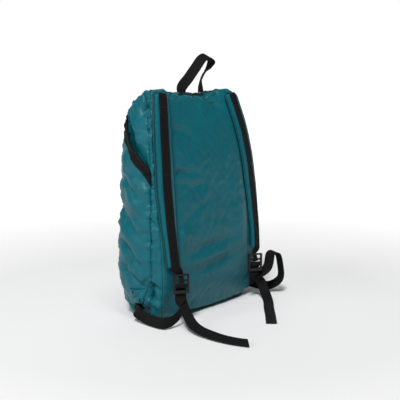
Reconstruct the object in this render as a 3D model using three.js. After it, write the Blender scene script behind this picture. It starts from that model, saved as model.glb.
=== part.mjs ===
import * as THREE from 'three';
import { mergeVertices } from 'three/addons/utils/BufferGeometryUtils.js';

// Packable backpack. Millimetres, +Z up, resting on z = 0, shoulder straps towards -Y

// Body of the bag
const BAG_HEIGHT = 416;
const BAG_WIDTH = 306;
const BAG_DEPTH = 140;
const BACK_CORNER_RADIUS = 9;
const FRONT_CORNER_RADIUS = 42;
const BACK_SWELL = 12;
const SIDE_SWELL = 8;
const FRONT_SWELL = 14;
const TOP_BACK_RADIUS = 16;
const TOP_FRONT_RADIUS = 46;
const TOP_CROWN = 3;
const BASE_RADIUS = 22;
const CLOTH = 1.4;
const GAP = 0.35;
const BASE_GAP = 0.8;
const GUSSET_WIDTH = 26;
const SIDE_PER_STATION = 88;
const GATHER_DEPTH = 1.5;
const SPINE_SHARE = 0.8;

// Side pockets and their mouth bindings
const POCKET_EASE = 3.4;
const POCKET_DROP = 8.5;
const POCKET_BOTTOM = 24;
const POCKET_LOW_MOUTH = 276;
const POCKET_HIGH_MOUTH = 374;
const BINDING_WIDTH = 28;
const BINDING = 1.1;

// Main zip across the top of the front
const ZIP_TAPE_WIDTH = 11;
const ZIP_TAPE = 1.2;
const ZIP_COIL_WIDTH = 2.4;
const ZIP_COIL_HEIGHT = 2.2;
const ZIP_MOUTH_LENGTH = 96;
const ZIP_MOUTH_GAPE = 13;
const SLIDER_LENGTH = 11;
const SLIDER_WIDTH = 8.4;
const SLIDER_HEIGHT = 3.4;
const PULL_LENGTH = 26;
const PULL_WIDTH = 5;
const PULL_THICKNESS = 1.6;
const PULL_SINK = 0.45;
const SLIDER_CLEARANCE = 0.7;

// Shoulder straps and webbing
const STRAP_WIDTH = 48;
const STRAP_END_WIDTH = 34;
const STRAP_ROOT_WIDTH = 40;
const STRAP_PAD = 4.2;
const STRAP_EDGE = 1.6;
const STRAP_CLEARANCE = 0.9;
const STRAP_ROOT_LIFT = 1.2;
const STRAP_HANG = 5;
const STRIP_CLEARANCE = 0.9;
const STRAP_END_STEP = 2.5;
const STRAP_HANG_RISE = 0.2;
const STRAP_END_RISE = 0.232;
const STRAP_TOP_DROP = 2;
const WEBBING_WIDTH = 20;
const WEBBING = 1.3;
const LOCK_NECK_WIDTH = 9;

// Ladder-lock buckles
const LOCK_WIDTH = 30;
const LOCK_LENGTH = 36;
const LOCK_THICKNESS = 3.6;
const LOCK_SLOT_WIDTH = 22;
const LOCK_CORNER = 4;
const LOCK_HEIGHT = 74;

// Lower straps, their anchor tabs and the haul loop
const STRAP_LOOP_REACH = 100;
const TAIL_REACH = 150;
const TAB_WIDTH = 34;
const TAB_HEIGHT = 26;
const TAB = 1.4;
const TAB_CENTRE_HEIGHT = 46;
const TUCK_CLEARANCE = 1.2;
const TUCK_DROP = 7;
const HAUL_FOOT_SPREAD = 57;
const HAUL_CENTRE = -3;
const HAUL_RISE = 74;
const HAUL_CLEARANCE = 2.8;

// Rises of the base seam, rows of the wall and of its turn over the top edge, and stations of the
// straps' line, of the anchor tabs and of the pockets' edges
const BASE_SEAM = -0.5;
const WALL_ROWS = 14;
const TOP_ROWS = 3;
const STRAP_STATION = 0.85;
const TAB_STATION = 2.3;
const POCKET_TRIM = 0.02;

// The zip tapes' ends are tucked under the panels: shares of the tapes' ramp
const ZIP_END_SHARE = 0.12;
const ZIP_TUCK = 0.04;

// Points of one solid that are closer than this are one point
const MERGE = 1e-4;

const TEAL = { color: 0x24636d, roughness: 0.42, metalness: 0 };
const TEAL_DARK = { color: 0x1a505b, roughness: 0.45, metalness: 0 };
const BLACK_WEBBING = { color: 0x1b1b1c, roughness: 0.8, metalness: 0 };
const BLACK_PLASTIC = { color: 0x141416, roughness: 0.38, metalness: 0 };

// Widths and depths of the bag at each height. width is a share of half BAG_WIDTH, back and front
// are shares of BAG_DEPTH, the swells are shares of the named swells, and gusset of GUSSET_WIDTH
const LEVELS = [
  { height: 0.00, width: 0.895, back: -0.400, front: 0.375, backSwell: 0.3, sideSwell: 0.2, frontSwell: 0.3, gusset: 0.90 },
  { height: 0.06, width: 0.930, back: -0.440, front: 0.405, backSwell: 0.5, sideSwell: 0.5, frontSwell: 0.6, gusset: 1.00 },
  { height: 0.18, width: 0.975, back: -0.500, front: 0.436, backSwell: 0.9, sideSwell: 0.9, frontSwell: 0.9, gusset: 1.00 },
  { height: 0.32, width: 1.000, back: -0.500, front: 0.430, backSwell: 1.0, sideSwell: 1.0, frontSwell: 1.0, gusset: 0.92 },
  { height: 0.45, width: 0.992, back: -0.455, front: 0.412, backSwell: 1.0, sideSwell: 1.0, frontSwell: 1.0, gusset: 0.74 },
  { height: 0.59, width: 0.980, back: -0.400, front: 0.392, backSwell: 1.0, sideSwell: 1.0, frontSwell: 1.0, gusset: 0.52 },
  { height: 0.72, width: 0.962, back: -0.350, front: 0.376, backSwell: 0.9, sideSwell: 0.9, frontSwell: 1.0, gusset: 0.45 },
  { height: 0.86, width: 0.916, back: -0.270, front: 0.366, backSwell: 0.6, sideSwell: 0.5, frontSwell: 0.9, gusset: 0.42 },
  { height: 1.00, width: 0.862, back: -0.168, front: 0.350, backSwell: 0.2, sideSwell: 0.2, frontSwell: 0.6, gusset: 0.40 },
];

// Edges round the bag by station: 0 back centre, 1 back corner seam, 2 side seam, 3 front corner
// seam, 4 front centre. peak is a share of BAG_HEIGHT, top goes from the back to the front radius,
// base is a share of BASE_RADIUS, and hem is how far down the top edge's turn the seam runs
const EDGES = [
  { station: 0.0, peak: 0.990, top: 0.00, base: 0.60, hem: 0.80 },
  { station: 0.5, peak: 0.992, top: 0.00, base: 0.60, hem: 0.80 },
  { station: 0.85, peak: 1.012, top: 0.05, base: 0.65, hem: 0.78 },
  { station: 1.5, peak: 1.006, top: 0.15, base: 0.85, hem: 0.70 },
  { station: 2.0, peak: 1.002, top: 0.22, base: 0.90, hem: 0.62 },
  { station: 3.0, peak: 0.985, top: 0.60, base: 1.00, hem: 0.44 },
  { station: 4.0, peak: 0.982, top: 0.90, base: 1.00, hem: 0.40 },
];

// Dents (negative) and swells of the cloth. station is signed, - on the left, height is a share of
// BAG_HEIGHT, turn is the fold's slope in degrees seen from outside, along and across are shares of
// BAG_DEPTH, and depth is a share of CLOTH
const FOLDS = [
  { name: 'sag under the haul loop', station: -0.1, height: 0.93, turn: 0, along: 0.50, across: 0.22, depth: -4.0 },
  { name: 'dent by the left strap', station: -0.55, height: 0.83, turn: -28, along: 0.28, across: 0.10, depth: -3.0 },
  { name: 'crescent crease', station: -0.62, height: 0.65, turn: -8, along: 0.24, across: 0.06, depth: -3.0 },
  { name: 'small dent', station: -0.28, height: 0.585, turn: 0, along: 0.12, across: 0.06, depth: -2.0 },
  { name: 'swell by the left strap', station: -0.66, height: 0.37, turn: 20, along: 0.13, across: 0.11, depth: 3.0 },
  { name: 'upper wave', station: -0.15, height: 0.31, turn: 6, along: 0.45, across: 0.08, depth: -2.4 },
  { name: 'lower wave', station: -0.10, height: 0.22, turn: 8, along: 0.45, across: 0.08, depth: -2.4 },
  { name: 'fold at the right strap root', station: 0.35, height: 0.955, turn: -38, along: 0.20, across: 0.07, depth: -4.5 },
  { name: 'right flank swell', station: 0.52, height: 0.45, turn: 88, along: 0.80, across: 0.22, depth: 3.0 },
  { name: 'deep left pocket fold', station: -2.55, height: 0.43, turn: -38, along: 0.30, across: 0.09, depth: -5.0 },
  { name: 'left pocket swell', station: -2.35, height: 0.53, turn: -35, along: 0.18, across: 0.10, depth: 2.5 },
  { name: 'left middle crease', station: -2.50, height: 0.30, turn: -40, along: 0.30, across: 0.07, depth: -3.2 },
  { name: 'left low crease', station: -2.40, height: 0.19, turn: -36, along: 0.28, across: 0.07, depth: -3.2 },
  { name: 'left bottom seam fold', station: -2.00, height: 0.13, turn: 90, along: 0.17, across: 0.06, depth: -5.0 },
  { name: 'left bottom corner lump', station: -1.60, height: 0.07, turn: 20, along: 0.14, across: 0.12, depth: 3.0 },
  { name: 'left top crumple', station: -2.05, height: 0.93, turn: 60, along: 0.10, across: 0.06, depth: -4.0 },
  { name: 'right pocket fold', station: 2.50, height: 0.46, turn: 36, along: 0.28, across: 0.09, depth: -4.0 },
  { name: 'right low crease', station: 2.40, height: 0.22, turn: 30, along: 0.28, across: 0.08, depth: -3.2 },
  { name: 'right bottom seam fold', station: 2.00, height: 0.13, turn: 90, along: 0.17, across: 0.06, depth: -5.0 },
  { name: 'front left crease', station: -3.55, height: 0.60, turn: -20, along: 0.40, across: 0.10, depth: -3.5 },
  { name: 'front right crease', station: 3.60, height: 0.36, turn: 24, along: 0.45, across: 0.10, depth: -3.5 },
  { name: 'front low wave', station: 3.95, height: 0.17, turn: 4, along: 0.50, across: 0.09, depth: -2.8 },
  { name: 'front top sag', station: -3.90, height: 0.80, turn: 0, along: 0.45, across: 0.12, depth: -2.8 },
];

const clamp = (x, low, high) => Math.min(Math.max(x, low), high);
const mix = (a, b, t) => a + (b - a) * t;
const bell = (x) => Math.exp(-x * x);

// A smooth curve through one column of a table whose rows are in order of the key column
function curve(table, key, column, x) {
  const n = table.length;
  const last = n - 2;
  let i = 0;
  while (i < last && table[i + 1][key] <= x) {
    i += 1;
  }
  const at = (k) => table[clamp(k, 0, n - 1)];
  const slope = (k) => {
    const before = at(k - 1);
    const after = at(k + 1);
    return (after[column] - before[column]) / (after[key] - before[key]);
  };
  const a = table[i];
  const b = table[i + 1];
  const span = b[key] - a[key];
  const t = clamp((x - a[key]) / span, 0, 1);
  const t2 = t * t;
  const t3 = t2 * t;
  return a[column] * (2 * t3 - 3 * t2 + 1) + b[column] * (3 * t2 - 2 * t3)
    + slope(i) * span * (t3 - 2 * t2 + t) + slope(i + 1) * span * (t3 - t2);
}

// Half of the bag's outline at a height, from the back centre round +X to the front centre, as
// points with their running length. turned is how far the base or top edge has turned in, 0 to 1,
// and sideRadius is the radius that the sides turn in by
function halfOutline(z, turned = 0, atTop = false, sideRadius = 0) {
  const level = (column) => curve(LEVELS, 'height', column, clamp(z / BAG_HEIGHT, 0, 1));
  const backInset = turned * (atTop ? TOP_BACK_RADIUS : BASE_RADIUS * EDGES[0].base);
  const frontInset = turned * (atTop ? TOP_FRONT_RADIUS : BASE_RADIUS);
  const half = level('width') * BAG_WIDTH / 2 - turned * sideRadius;
  const back = level('back') * BAG_DEPTH + backInset;
  const front = level('front') * BAG_DEPTH - frontInset;
  const room = front - back;
  const backRadius = Math.min(BACK_CORNER_RADIUS, room * 0.3);
  const frontRadius = Math.min(FRONT_CORNER_RADIUS, room * 0.55);
  const swell = 1 - turned;
  const points = [];
  const backEnd = half - backRadius;
  const frontEnd = half - frontRadius;
  const sideStart = back + backRadius;
  const sideEnd = front - frontRadius;
  for (let i = 0; i <= 10; i += 1) {
    const x = backEnd * i / 10;
    points.push([x, back - level('backSwell') * BACK_SWELL * swell * (1 - (x / backEnd) ** 2)]);
  }
  for (let i = 1; i <= 6; i += 1) {
    const turn = Math.PI / 2 * i / 6;
    points.push([backEnd + backRadius * Math.sin(turn), sideStart - backRadius * Math.cos(turn)]);
  }
  for (let i = 1; i < 10; i += 1) {
    const t = i / 10;
    const out = level('sideSwell') * SIDE_SWELL * swell * 4 * t * (1 - t);
    points.push([half + out, mix(sideStart, sideEnd, t)]);
  }
  for (let i = 0; i <= 8; i += 1) {
    const turn = Math.PI / 2 * i / 8;
    points.push([frontEnd + frontRadius * Math.cos(turn), sideEnd + frontRadius * Math.sin(turn)]);
  }
  for (let i = 1; i <= 10; i += 1) {
    const x = frontEnd * (1 - i / 10);
    points.push([x, front + level('frontSwell') * FRONT_SWELL * swell * (1 - (x / frontEnd) ** 2)]);
  }
  const lengths = [0];
  for (let i = 1; i < points.length; i += 1) {
    const step = Math.hypot(points[i][0] - points[i - 1][0], points[i][1] - points[i - 1][1]);
    lengths.push(lengths[i - 1] + step);
  }
  const side = lengths[26] - lengths[16];
  const seams = [
    0,
    (lengths[10] + lengths[16]) / 2,
    lengths[16] + clamp(level('gusset') * GUSSET_WIDTH - backRadius, side * 0.02, side * 0.4),
    (lengths[26] + lengths[34]) / 2,
    lengths[44],
  ];
  return { points, lengths, seams };
}

function pointAtLength({ points, lengths }, length) {
  let i = 0;
  while (i < lengths.length - 2 && lengths[i + 1] < length) {
    i += 1;
  }
  const t = (length - lengths[i]) / (lengths[i + 1] - lengths[i]);
  return [mix(points[i][0], points[i + 1][0], t), mix(points[i][1], points[i + 1][1], t)];
}

function wrapStation(station) {
  return Math.abs(station) > 4 ? -Math.sign(station) * (8 - Math.abs(station)) : station;
}

// Radii and height of the edges at a station
function edge(station, column) {
  return curve(EDGES, 'station', column, Math.abs(wrapStation(station)));
}

function topRadius(station) {
  return mix(TOP_BACK_RADIUS, TOP_FRONT_RADIUS, edge(station, 'top'));
}

function baseRadius(station) {
  return BASE_RADIUS * edge(station, 'base');
}

function wallTop(station) {
  return edge(station, 'peak') * BAG_HEIGHT - topRadius(station);
}

// The bag's smooth surface. rise is -1 to 0 up the base edge, 0 to 1 up the wall and 1 to 2 over
// the top edge
function outlineAt(station, rise) {
  const radius = topRadius(station);
  const low = baseRadius(station);
  const topTurn = clamp(rise - 1, 0, 1) * Math.PI / 2;
  const baseTurn = clamp(-rise, 0, 1) * Math.PI / 2;
  let z = mix(low, wallTop(station), clamp(rise, 0, 1));
  if (rise > 1) {
    z = wallTop(station) + radius * Math.sin(topTurn);
  } else if (rise < 0) {
    z = low * (1 - Math.sin(baseTurn));
  }
  const turned = 1 - Math.cos(rise > 1 ? topTurn : baseTurn);
  return { z, outline: halfOutline(z, turned, rise > 1, rise > 1 ? radius : low) };
}

function smoothPoint(stationIn, rise) {
  const station = wrapStation(stationIn);
  const { z, outline } = outlineAt(station, rise);
  const where = Math.abs(station);
  const seam = Math.min(Math.floor(where), 3);
  const length = mix(outline.seams[seam], outline.seams[seam + 1], where - seam);
  const [x, y] = pointAtLength(outline, length);
  return new THREE.Vector3(x * (station < 0 ? -1 : 1), y, z);
}

function normalAt(station, rise) {
  const low = Math.max(rise - 0.03, -1);
  const high = Math.min(rise + 0.03, 2);
  const round = smoothPoint(station + 0.06, rise).sub(smoothPoint(station - 0.06, rise));
  const up = smoothPoint(station, high).sub(smoothPoint(station, low));
  return round.cross(up).normalize();
}

// The rise at which the wall or an edge is at height z
function riseAt(station, z) {
  const low = baseRadius(station);
  const top = wallTop(station);
  if (z < low) {
    return -Math.asin(1 - z / low) / (Math.PI / 2);
  }
  if (z > top) {
    return 1 + Math.asin(clamp((z - top) / topRadius(station), 0, 1)) / (Math.PI / 2);
  }
  return (z - low) / (top - low);
}

const foldFrames = FOLDS.map((fold) => {
  const rise = riseAt(fold.station, fold.height * BAG_HEIGHT);
  const normal = normalAt(fold.station, rise);
  const level = new THREE.Vector3(0, 0, 1).cross(normal).normalize();
  const up = normal.clone().cross(level);
  const turn = THREE.MathUtils.degToRad(fold.turn);
  return {
    centre: smoothPoint(fold.station, rise),
    along: level.clone().multiplyScalar(Math.cos(turn)).addScaledVector(up, Math.sin(turn)),
    across: up.clone().multiplyScalar(Math.cos(turn)).addScaledVector(level, -Math.sin(turn)),
    normal,
    length: fold.along * BAG_DEPTH,
    width: fold.across * BAG_DEPTH,
    depth: fold.depth * CLOTH,
  };
});

function foldDepth(point, normal) {
  let depth = 0;
  for (const fold of foldFrames) {
    const from = point.clone().sub(fold.centre);
    const facing = clamp(normal.dot(fold.normal), 0, 1);
    const near = bell(from.dot(fold.along) / fold.length) * bell(from.dot(fold.across) / fold.width);
    depth += fold.depth * near * facing;
  }
  const fade = clamp(point.z / BASE_RADIUS - 0.3, 0, 1);
  return depth * fade;
}

// A point of the folded cloth, lifted off it by lift
function clothPoint(station, rise, lift) {
  const point = smoothPoint(station, rise);
  const normal = normalAt(station, rise);
  return point.addScaledVector(normal, foldDepth(point, normal) + lift);
}

// A closed sheet from rows of { low, high } points. ring joins each row's ends, and the last row of
// a closed sheet is a spine that the columns on its two sides share
function sheetGeometry(grid, { ring = false, closed = false } = {}) {
  const rows = grid.length;
  const columns = grid[0].length;
  const positions = grid.flat().flatMap(({ low, high }) => [...low.toArray(), ...high.toArray()]);
  const indices = [];
  const index = (j, i, face) => 2 * (j * columns + (ring ? i % columns : i)) + face;
  const quad = (a, b, c, d) => indices.push(a, b, c, a, c, d);
  const across = ring ? columns : columns - 1;
  for (let j = 0; j < rows - 1; j += 1) {
    for (let i = 0; i < across; i += 1) {
      quad(index(j, i, 1), index(j, i + 1, 1), index(j + 1, i + 1, 1), index(j + 1, i, 1));
      quad(index(j, i, 0), index(j + 1, i, 0), index(j + 1, i + 1, 0), index(j, i + 1, 0));
    }
    if (!ring) {
      quad(index(j, 0, 0), index(j, 0, 1), index(j + 1, 0, 1), index(j + 1, 0, 0));
      quad(index(j, across, 1), index(j, across, 0), index(j + 1, across, 0), index(j + 1, across, 1));
    }
  }
  for (let i = 0; i < across; i += 1) {
    quad(index(0, i + 1, 1), index(0, i, 1), index(0, i, 0), index(0, i + 1, 0));
    if (!closed) {
      quad(index(rows - 1, i, 1), index(rows - 1, i + 1, 1), index(rows - 1, i + 1, 0), index(rows - 1, i, 0));
    }
  }
  const geometry = new THREE.BufferGeometry();
  geometry.setAttribute('position', new THREE.Float32BufferAttribute(positions, 3));
  geometry.setIndex(indices);
  if (signedVolume(geometry) < 0) {
    for (let i = 0; i < indices.length; i += 3) {
      [indices[i], indices[i + 1]] = [indices[i + 1], indices[i]];
    }
    geometry.setIndex(indices);
  }
  const merged = mergeVertices(geometry, MERGE);
  merged.computeVertexNormals();
  return merged;
}

function signedVolume(geometry) {
  const position = geometry.getAttribute('position');
  const index = geometry.getIndex();
  const [a, b, c] = [new THREE.Vector3(), new THREE.Vector3(), new THREE.Vector3()];
  let volume = 0;
  for (let i = 0; i < index.count; i += 3) {
    a.fromBufferAttribute(position, index.getX(i));
    b.fromBufferAttribute(position, index.getX(i + 1));
    c.fromBufferAttribute(position, index.getX(i + 2));
    volume += a.dot(b.cross(c)) / 6;
  }
  return volume;
}

const bag = new THREE.Group();

function addMesh(name, geometry, finish) {
  const mesh = new THREE.Mesh(geometry, new THREE.MeshStandardMaterial(finish));
  mesh.name = name;
  bag.add(mesh);
  return mesh;
}

// Length in millimetres of one unit of rise, at a rise on the wall or over the top edge
function risePerUnit(station, rise) {
  return rise > 1 ? topRadius(station) * Math.PI / 2 : wallTop(station) - baseRadius(station);
}

// Stations of the columns of each panel. Neighbours share them, so their edges run side by side
const evenly = (from, to, steps) => Array.from({ length: steps + 1 }, (_, i) => mix(from, to, i / steps));
const BACK_STATIONS = evenly(-1, 1, 14).map((t) => Math.sign(t) * (1 - (1 - Math.abs(t)) ** 1.5));
const FRONT_STATIONS = evenly(3, 5, 14);
const gussetStations = (side) => evenly(side, side * 2, 3);
const sideStations = (side) => evenly(side * 2, side * 3, 7);
const RING_STATIONS = [
  ...BACK_STATIONS,
  ...gussetStations(1).slice(1),
  ...sideStations(1).slice(1),
  ...FRONT_STATIONS.slice(1),
  ...sideStations(-1).reverse().slice(1),
  ...gussetStations(-1).reverse().slice(1, -1),
];

const ZIP_RAMP = FRONT_STATIONS[1] - FRONT_STATIONS[0];

// The zip runs across the front, from one front corner seam to the other. Its tapes widen from
// nothing over ZIP_RAMP at each end, and gape lets them part
function zipWidening(station) {
  return clamp((Math.abs(wrapStation(station)) - 3) / ZIP_RAMP, 0, 1);
}

const FRONT_PER_STATION = BAG_WIDTH / 2 - FRONT_CORNER_RADIUS / 2;

function zipGape(station) {
  const place = wrapStation(station);
  const from = (place - 3 - ZIP_RAMP) * FRONT_PER_STATION;
  const open = from > 0 && from < ZIP_MOUTH_LENGTH ? Math.sin(Math.PI * from / ZIP_MOUTH_LENGTH) ** 2 : 0;
  return GAP / 2 + open * ZIP_MOUTH_GAPE / 2;
}

function zipShift(station) {
  return GAP / 2 + (zipGape(station) - GAP / 2 + ZIP_TAPE_WIDTH + GAP) * zipWidening(station);
}

// The seam under the top panel, as a rise, moved by a length towards the top
function hemRise(station, shift) {
  const rise = 1 + edge(station, 'hem');
  const arc = topRadius(station) * Math.PI / 2;
  const moved = rise + shift / arc;
  return moved >= 1 ? moved : 1 + (moved - 1) * arc / risePerUnit(station, 0.5);
}

// Rows of the wall, as rises: up the base edge, up the wall and over the top edge to the seam
function wallRises(station, seamShift) {
  return [
    BASE_SEAM + BASE_GAP / 2 / (baseRadius(station) * Math.PI / 2),
    BASE_SEAM / 2,
    ...evenly(0, 1, WALL_ROWS),
    ...evenly(1, hemRise(station, -seamShift), TOP_ROWS).slice(1),
  ];
}

// One panel of cloth between two stations, from the base seam to the seam under the top panel.
// drop(station, z) sinks it. A gathered panel has a pleat between each pair of rows
function wallPanel(name, stations, { gather = 0, drop = () => 0 }) {
  const first = stations[0];
  const last = stations[stations.length - 1];
  const width = smoothPoint(first, 0.5).distanceTo(smoothPoint(last, 0.5));
  const trim = GAP / 2 / width * (last - first);
  const columns = stations.map((station, i) => {
    const edgeTrim = (i === 0 ? trim : 0) - (i === stations.length - 1 ? trim : 0);
    const at = station + edgeTrim;
    const rows = wallRises(at, zipShift(at)).map((rise) => {
      const lift = -drop(at, smoothPoint(at, rise).z);
      return { rise, low: clothPoint(at, rise, lift - CLOTH), high: clothPoint(at, rise, lift) };
    });
    if (!gather) {
      return rows;
    }
    const stands = gather * Math.sin(Math.PI * i / (stations.length - 1));
    return rows.flatMap((row, k) => {
      if (k === 0) {
        return [row];
      }
      const before = rows[k - 1];
      const out = normalAt(at, (row.rise + before.rise) / 2);
      const between = (face) => before[face].clone().lerp(row[face], 0.5).addScaledVector(out, stands);
      return [{ low: between('low'), high: between('high') }, row];
    });
  });
  const grid = columns[0].map((_, j) => columns.map((column) => column[j]));
  addMesh(name, sheetGeometry(grid), TEAL);
}

// A spine down the middle of a ring of cells, shared by its facing back and front columns
function spineOf(rim) {
  const facing = RING_STATIONS.indexOf(FRONT_STATIONS[FRONT_STATIONS.length - 1]);
  return rim.map(({ high }, i) => {
    const other = rim[(facing - i + rim.length) % rim.length].high;
    const [x, y, z] = [high.x + other.x, high.y + other.y, high.z + other.z];
    return new THREE.Vector3(x * SPINE_SHARE / 2, y / 2, z / 2);
  });
}

function basePanel() {
  const grid = [BASE_SEAM - BASE_GAP / 2 / (BASE_RADIUS * Math.PI / 2), -0.75, -1].map((rise) => (
    RING_STATIONS.map((station) => (
      { low: clothPoint(station, rise, -CLOTH), high: clothPoint(station, rise, 0) }
    ))
  ));
  const rim = grid[grid.length - 1];
  rim.forEach(({ low, high }) => {
    low.set(high.x, high.y, CLOTH);
    high.setZ(0);
  });
  grid.push(spineOf(rim).map(({ x, y }) => (
    { low: new THREE.Vector3(x, y, CLOTH), high: new THREE.Vector3(x, y, 0) }
  )));
  addMesh('base_panel', sheetGeometry(grid, { ring: true, closed: true }), TEAL_DARK);
}

// The top panel, from its hem over the top edge and crowned to its spine
function topPanel() {
  const grid = [0, 0.5, 1].map((share) => RING_STATIONS.map((station) => {
    const rise = mix(hemRise(station, zipShift(station)), 2, share);
    return { low: clothPoint(station, rise, -CLOTH), high: clothPoint(station, rise, 0) };
  }));
  const rim = grid[grid.length - 1];
  const spine = spineOf(rim);
  for (const inward of [0.5, 1]) {
    grid.push(rim.map(({ high }, i) => {
      const at = high.clone().lerp(spine[i], inward);
      at.z += TOP_CROWN * inward;
      return { low: at.clone().setZ(at.z - CLOTH), high: at };
    }));
  }
  addMesh('top_panel', sheetGeometry(grid, { ring: true, closed: true }), TEAL);
}

// A piece laid on the cloth: place(a, b) gives its station, rise, underside and upper side
function laidPiece(name, finish, columns, rows, place) {
  const grid = evenly(0, 1, rows).map((b) => evenly(0, 1, columns).map((a) => {
    const { station, rise, low, high } = place(a, b);
    return { low: clothPoint(station, rise, low), high: clothPoint(station, rise, high) };
  }));
  addMesh(name, sheetGeometry(grid), finish);
}

// Side pockets: a panel over the side with a slanting mouth, bound with webbing. The side panel
// drops in behind it
function mouthHeight(a) {
  return mix(POCKET_LOW_MOUTH, POCKET_HIGH_MOUTH, clamp(a, 0, 1) ** 0.9);
}

function pocketDrop(station, z) {
  const a = Math.abs(wrapStation(station)) - 2;
  const below = clamp((mouthHeight(a) + BINDING_WIDTH - z) / BINDING_WIDTH, 0, 1);
  const above = clamp((z - POCKET_BOTTOM / 2) / POCKET_BOTTOM, 0, 1);
  return POCKET_DROP * Math.min(below, above);
}

function pocketLift(a, b) {
  return GAP + POCKET_EASE * Math.sin(Math.PI * a) * b * b;
}

function sidePocket(side, label) {
  const station = (a) => side * mix(2 + POCKET_TRIM, 3 - POCKET_TRIM, a);
  const liftAt = (a, z) => pocketLift(a, (z - POCKET_BOTTOM) / (mouthHeight(a) - POCKET_BOTTOM));
  laidPiece(`pocket_${label}`, TEAL, 7, 9, (a, b) => {
    const z = mix(POCKET_BOTTOM, mouthHeight(a), b);
    const low = liftAt(a, z);
    return { station: station(a), rise: riseAt(station(a), z), low, high: low + CLOTH };
  });
  laidPiece(`pocket_binding_${label}`, BLACK_WEBBING, 7, 1, (a, b) => {
    const z = mouthHeight(a) - BINDING_WIDTH * (1 - b);
    const low = liftAt(a, z) + CLOTH + GAP;
    return { station: station(a), rise: riseAt(station(a), z), low, high: low + BINDING };
  });
}

// The main zip: two tapes, each with its row of teeth, that meet along the top of the front
function zipTapes() {
  const across = [
    { from: 0, height: ZIP_COIL_HEIGHT },
    { from: ZIP_COIL_WIDTH / ZIP_TAPE_WIDTH, height: ZIP_COIL_HEIGHT },
    { from: ZIP_COIL_WIDTH / ZIP_TAPE_WIDTH + 0.03, height: ZIP_TAPE },
    { from: 1, height: ZIP_TAPE },
  ];
  const inner = FRONT_STATIONS.slice(1, -1);
  const stations = [3 + ZIP_RAMP * ZIP_END_SHARE, ...inner, 5 - ZIP_RAMP * ZIP_END_SHARE];
  for (const [label, way] of [['front', -1], ['top', 1]]) {
    const grid = stations.map((station) => across.map(({ from, height }) => {
      const width = ZIP_TAPE_WIDTH * (zipWidening(station) - ZIP_TUCK) / (1 - ZIP_TUCK);
      const gape = mix(GAP / 2, zipGape(station), zipWidening(station));
      const rise = hemRise(station, way * (gape + from * width));
      return { low: clothPoint(station, rise, -ZIP_TAPE), high: clothPoint(station, rise, height - ZIP_TAPE) };
    }));
    addMesh(`zip_tape_${label}`, sheetGeometry(grid), BLACK_WEBBING);
  }
}

// A frame on the cloth: its point, the way round, the way up and the way out
function clothFrame(station, rise, lift) {
  const out = normalAt(station, rise);
  const up = smoothPoint(station, rise + 0.02).sub(smoothPoint(station, rise - 0.02)).normalize();
  const round = up.clone().cross(out).normalize();
  const matrix = new THREE.Matrix4().makeBasis(round, up, out);
  matrix.setPosition(clothPoint(station, rise, lift));
  return matrix;
}

// A flat plate with round corners and slots, lying in x and y about its centre
function roundedPlate(width, length, radius, thickness, slots = []) {
  const shape = new THREE.Shape();
  const [w, l] = [width / 2, length / 2];
  shape.moveTo(-w + radius, -l);
  shape.lineTo(w - radius, -l);
  shape.absarc(w - radius, -l + radius, radius, -Math.PI / 2, 0);
  shape.lineTo(w, l - radius);
  shape.absarc(w - radius, l - radius, radius, 0, Math.PI / 2);
  shape.lineTo(-w + radius, l);
  shape.absarc(-w + radius, l - radius, radius, Math.PI / 2, Math.PI);
  shape.lineTo(-w, -l + radius);
  shape.absarc(-w + radius, -l + radius, radius, Math.PI, Math.PI * 1.5);
  for (const { half, low, high } of slots) {
    const slot = new THREE.Path();
    slot.moveTo(-half, low);
    slot.lineTo(-half, high);
    slot.lineTo(half, high);
    slot.lineTo(half, low);
    slot.closePath();
    shape.holes.push(slot);
  }
  const plate = new THREE.ExtrudeGeometry(shape, { depth: thickness, bevelEnabled: false, curveSegments: 3 });
  plate.translate(0, 0, -thickness / 2);
  plate.deleteAttribute('normal');
  plate.deleteAttribute('uv');
  const merged = mergeVertices(plate, MERGE);
  merged.computeVertexNormals();
  return merged;
}

// The slider stands at the closed end of the mouth, and its pull hangs down the front
function zipSlider() {
  const station = 3 + ZIP_RAMP + (ZIP_MOUTH_LENGTH + SLIDER_LENGTH / 2) / FRONT_PER_STATION;
  const rise = hemRise(station, 0);
  const lift = ZIP_COIL_HEIGHT - ZIP_TAPE + SLIDER_CLEARANCE + SLIDER_HEIGHT / 2;
  const slider = roundedPlate(SLIDER_LENGTH, SLIDER_WIDTH, 2, SLIDER_HEIGHT);
  addMesh('zip_slider', slider, BLACK_PLASTIC).applyMatrix4(clothFrame(station, rise, lift));
  const pull = roundedPlate(PULL_WIDTH, PULL_LENGTH, 2, PULL_THICKNESS);
  const pullRise = rise - PULL_LENGTH * 0.42 / risePerUnit(station, rise);
  const pullLift = lift + SLIDER_HEIGHT / 2 + PULL_THICKNESS / 2 - PULL_SINK;
  addMesh('zip_pull', pull, BLACK_WEBBING).applyMatrix4(clothFrame(station, pullRise, pullLift));
}

// Centre lines of the shoulder straps: height is a share of BAG_HEIGHT, left and right are their
// distances from the back centre line as shares of half BAG_WIDTH
const STRAP_LINE = [
  { height: 0.20, left: 0.850, right: 0.765 },
  { height: 0.35, left: 0.858, right: 0.832 },
  { height: 0.50, left: 0.853, right: 0.846 },
  { height: 0.64, left: 0.838, right: 0.835 },
  { height: 0.80, left: 0.790, right: 0.790 },
  { height: 0.92, left: 0.725, right: 0.725 },
  { height: 1.02, left: 0.665, right: 0.665 },
];

// The station of a place at a distance from the back centre line, at a rise of the strap's line
function stationAcross(distance, rise) {
  const { seams } = outlineAt(STRAP_STATION, rise).outline;
  const length = Math.abs(distance);
  let seam = 0;
  while (seam < 3 && seams[seam + 1] < length) {
    seam += 1;
  }
  return Math.sign(distance) * (seam + (length - seams[seam]) / (seams[seam + 1] - seams[seam]));
}

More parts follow.
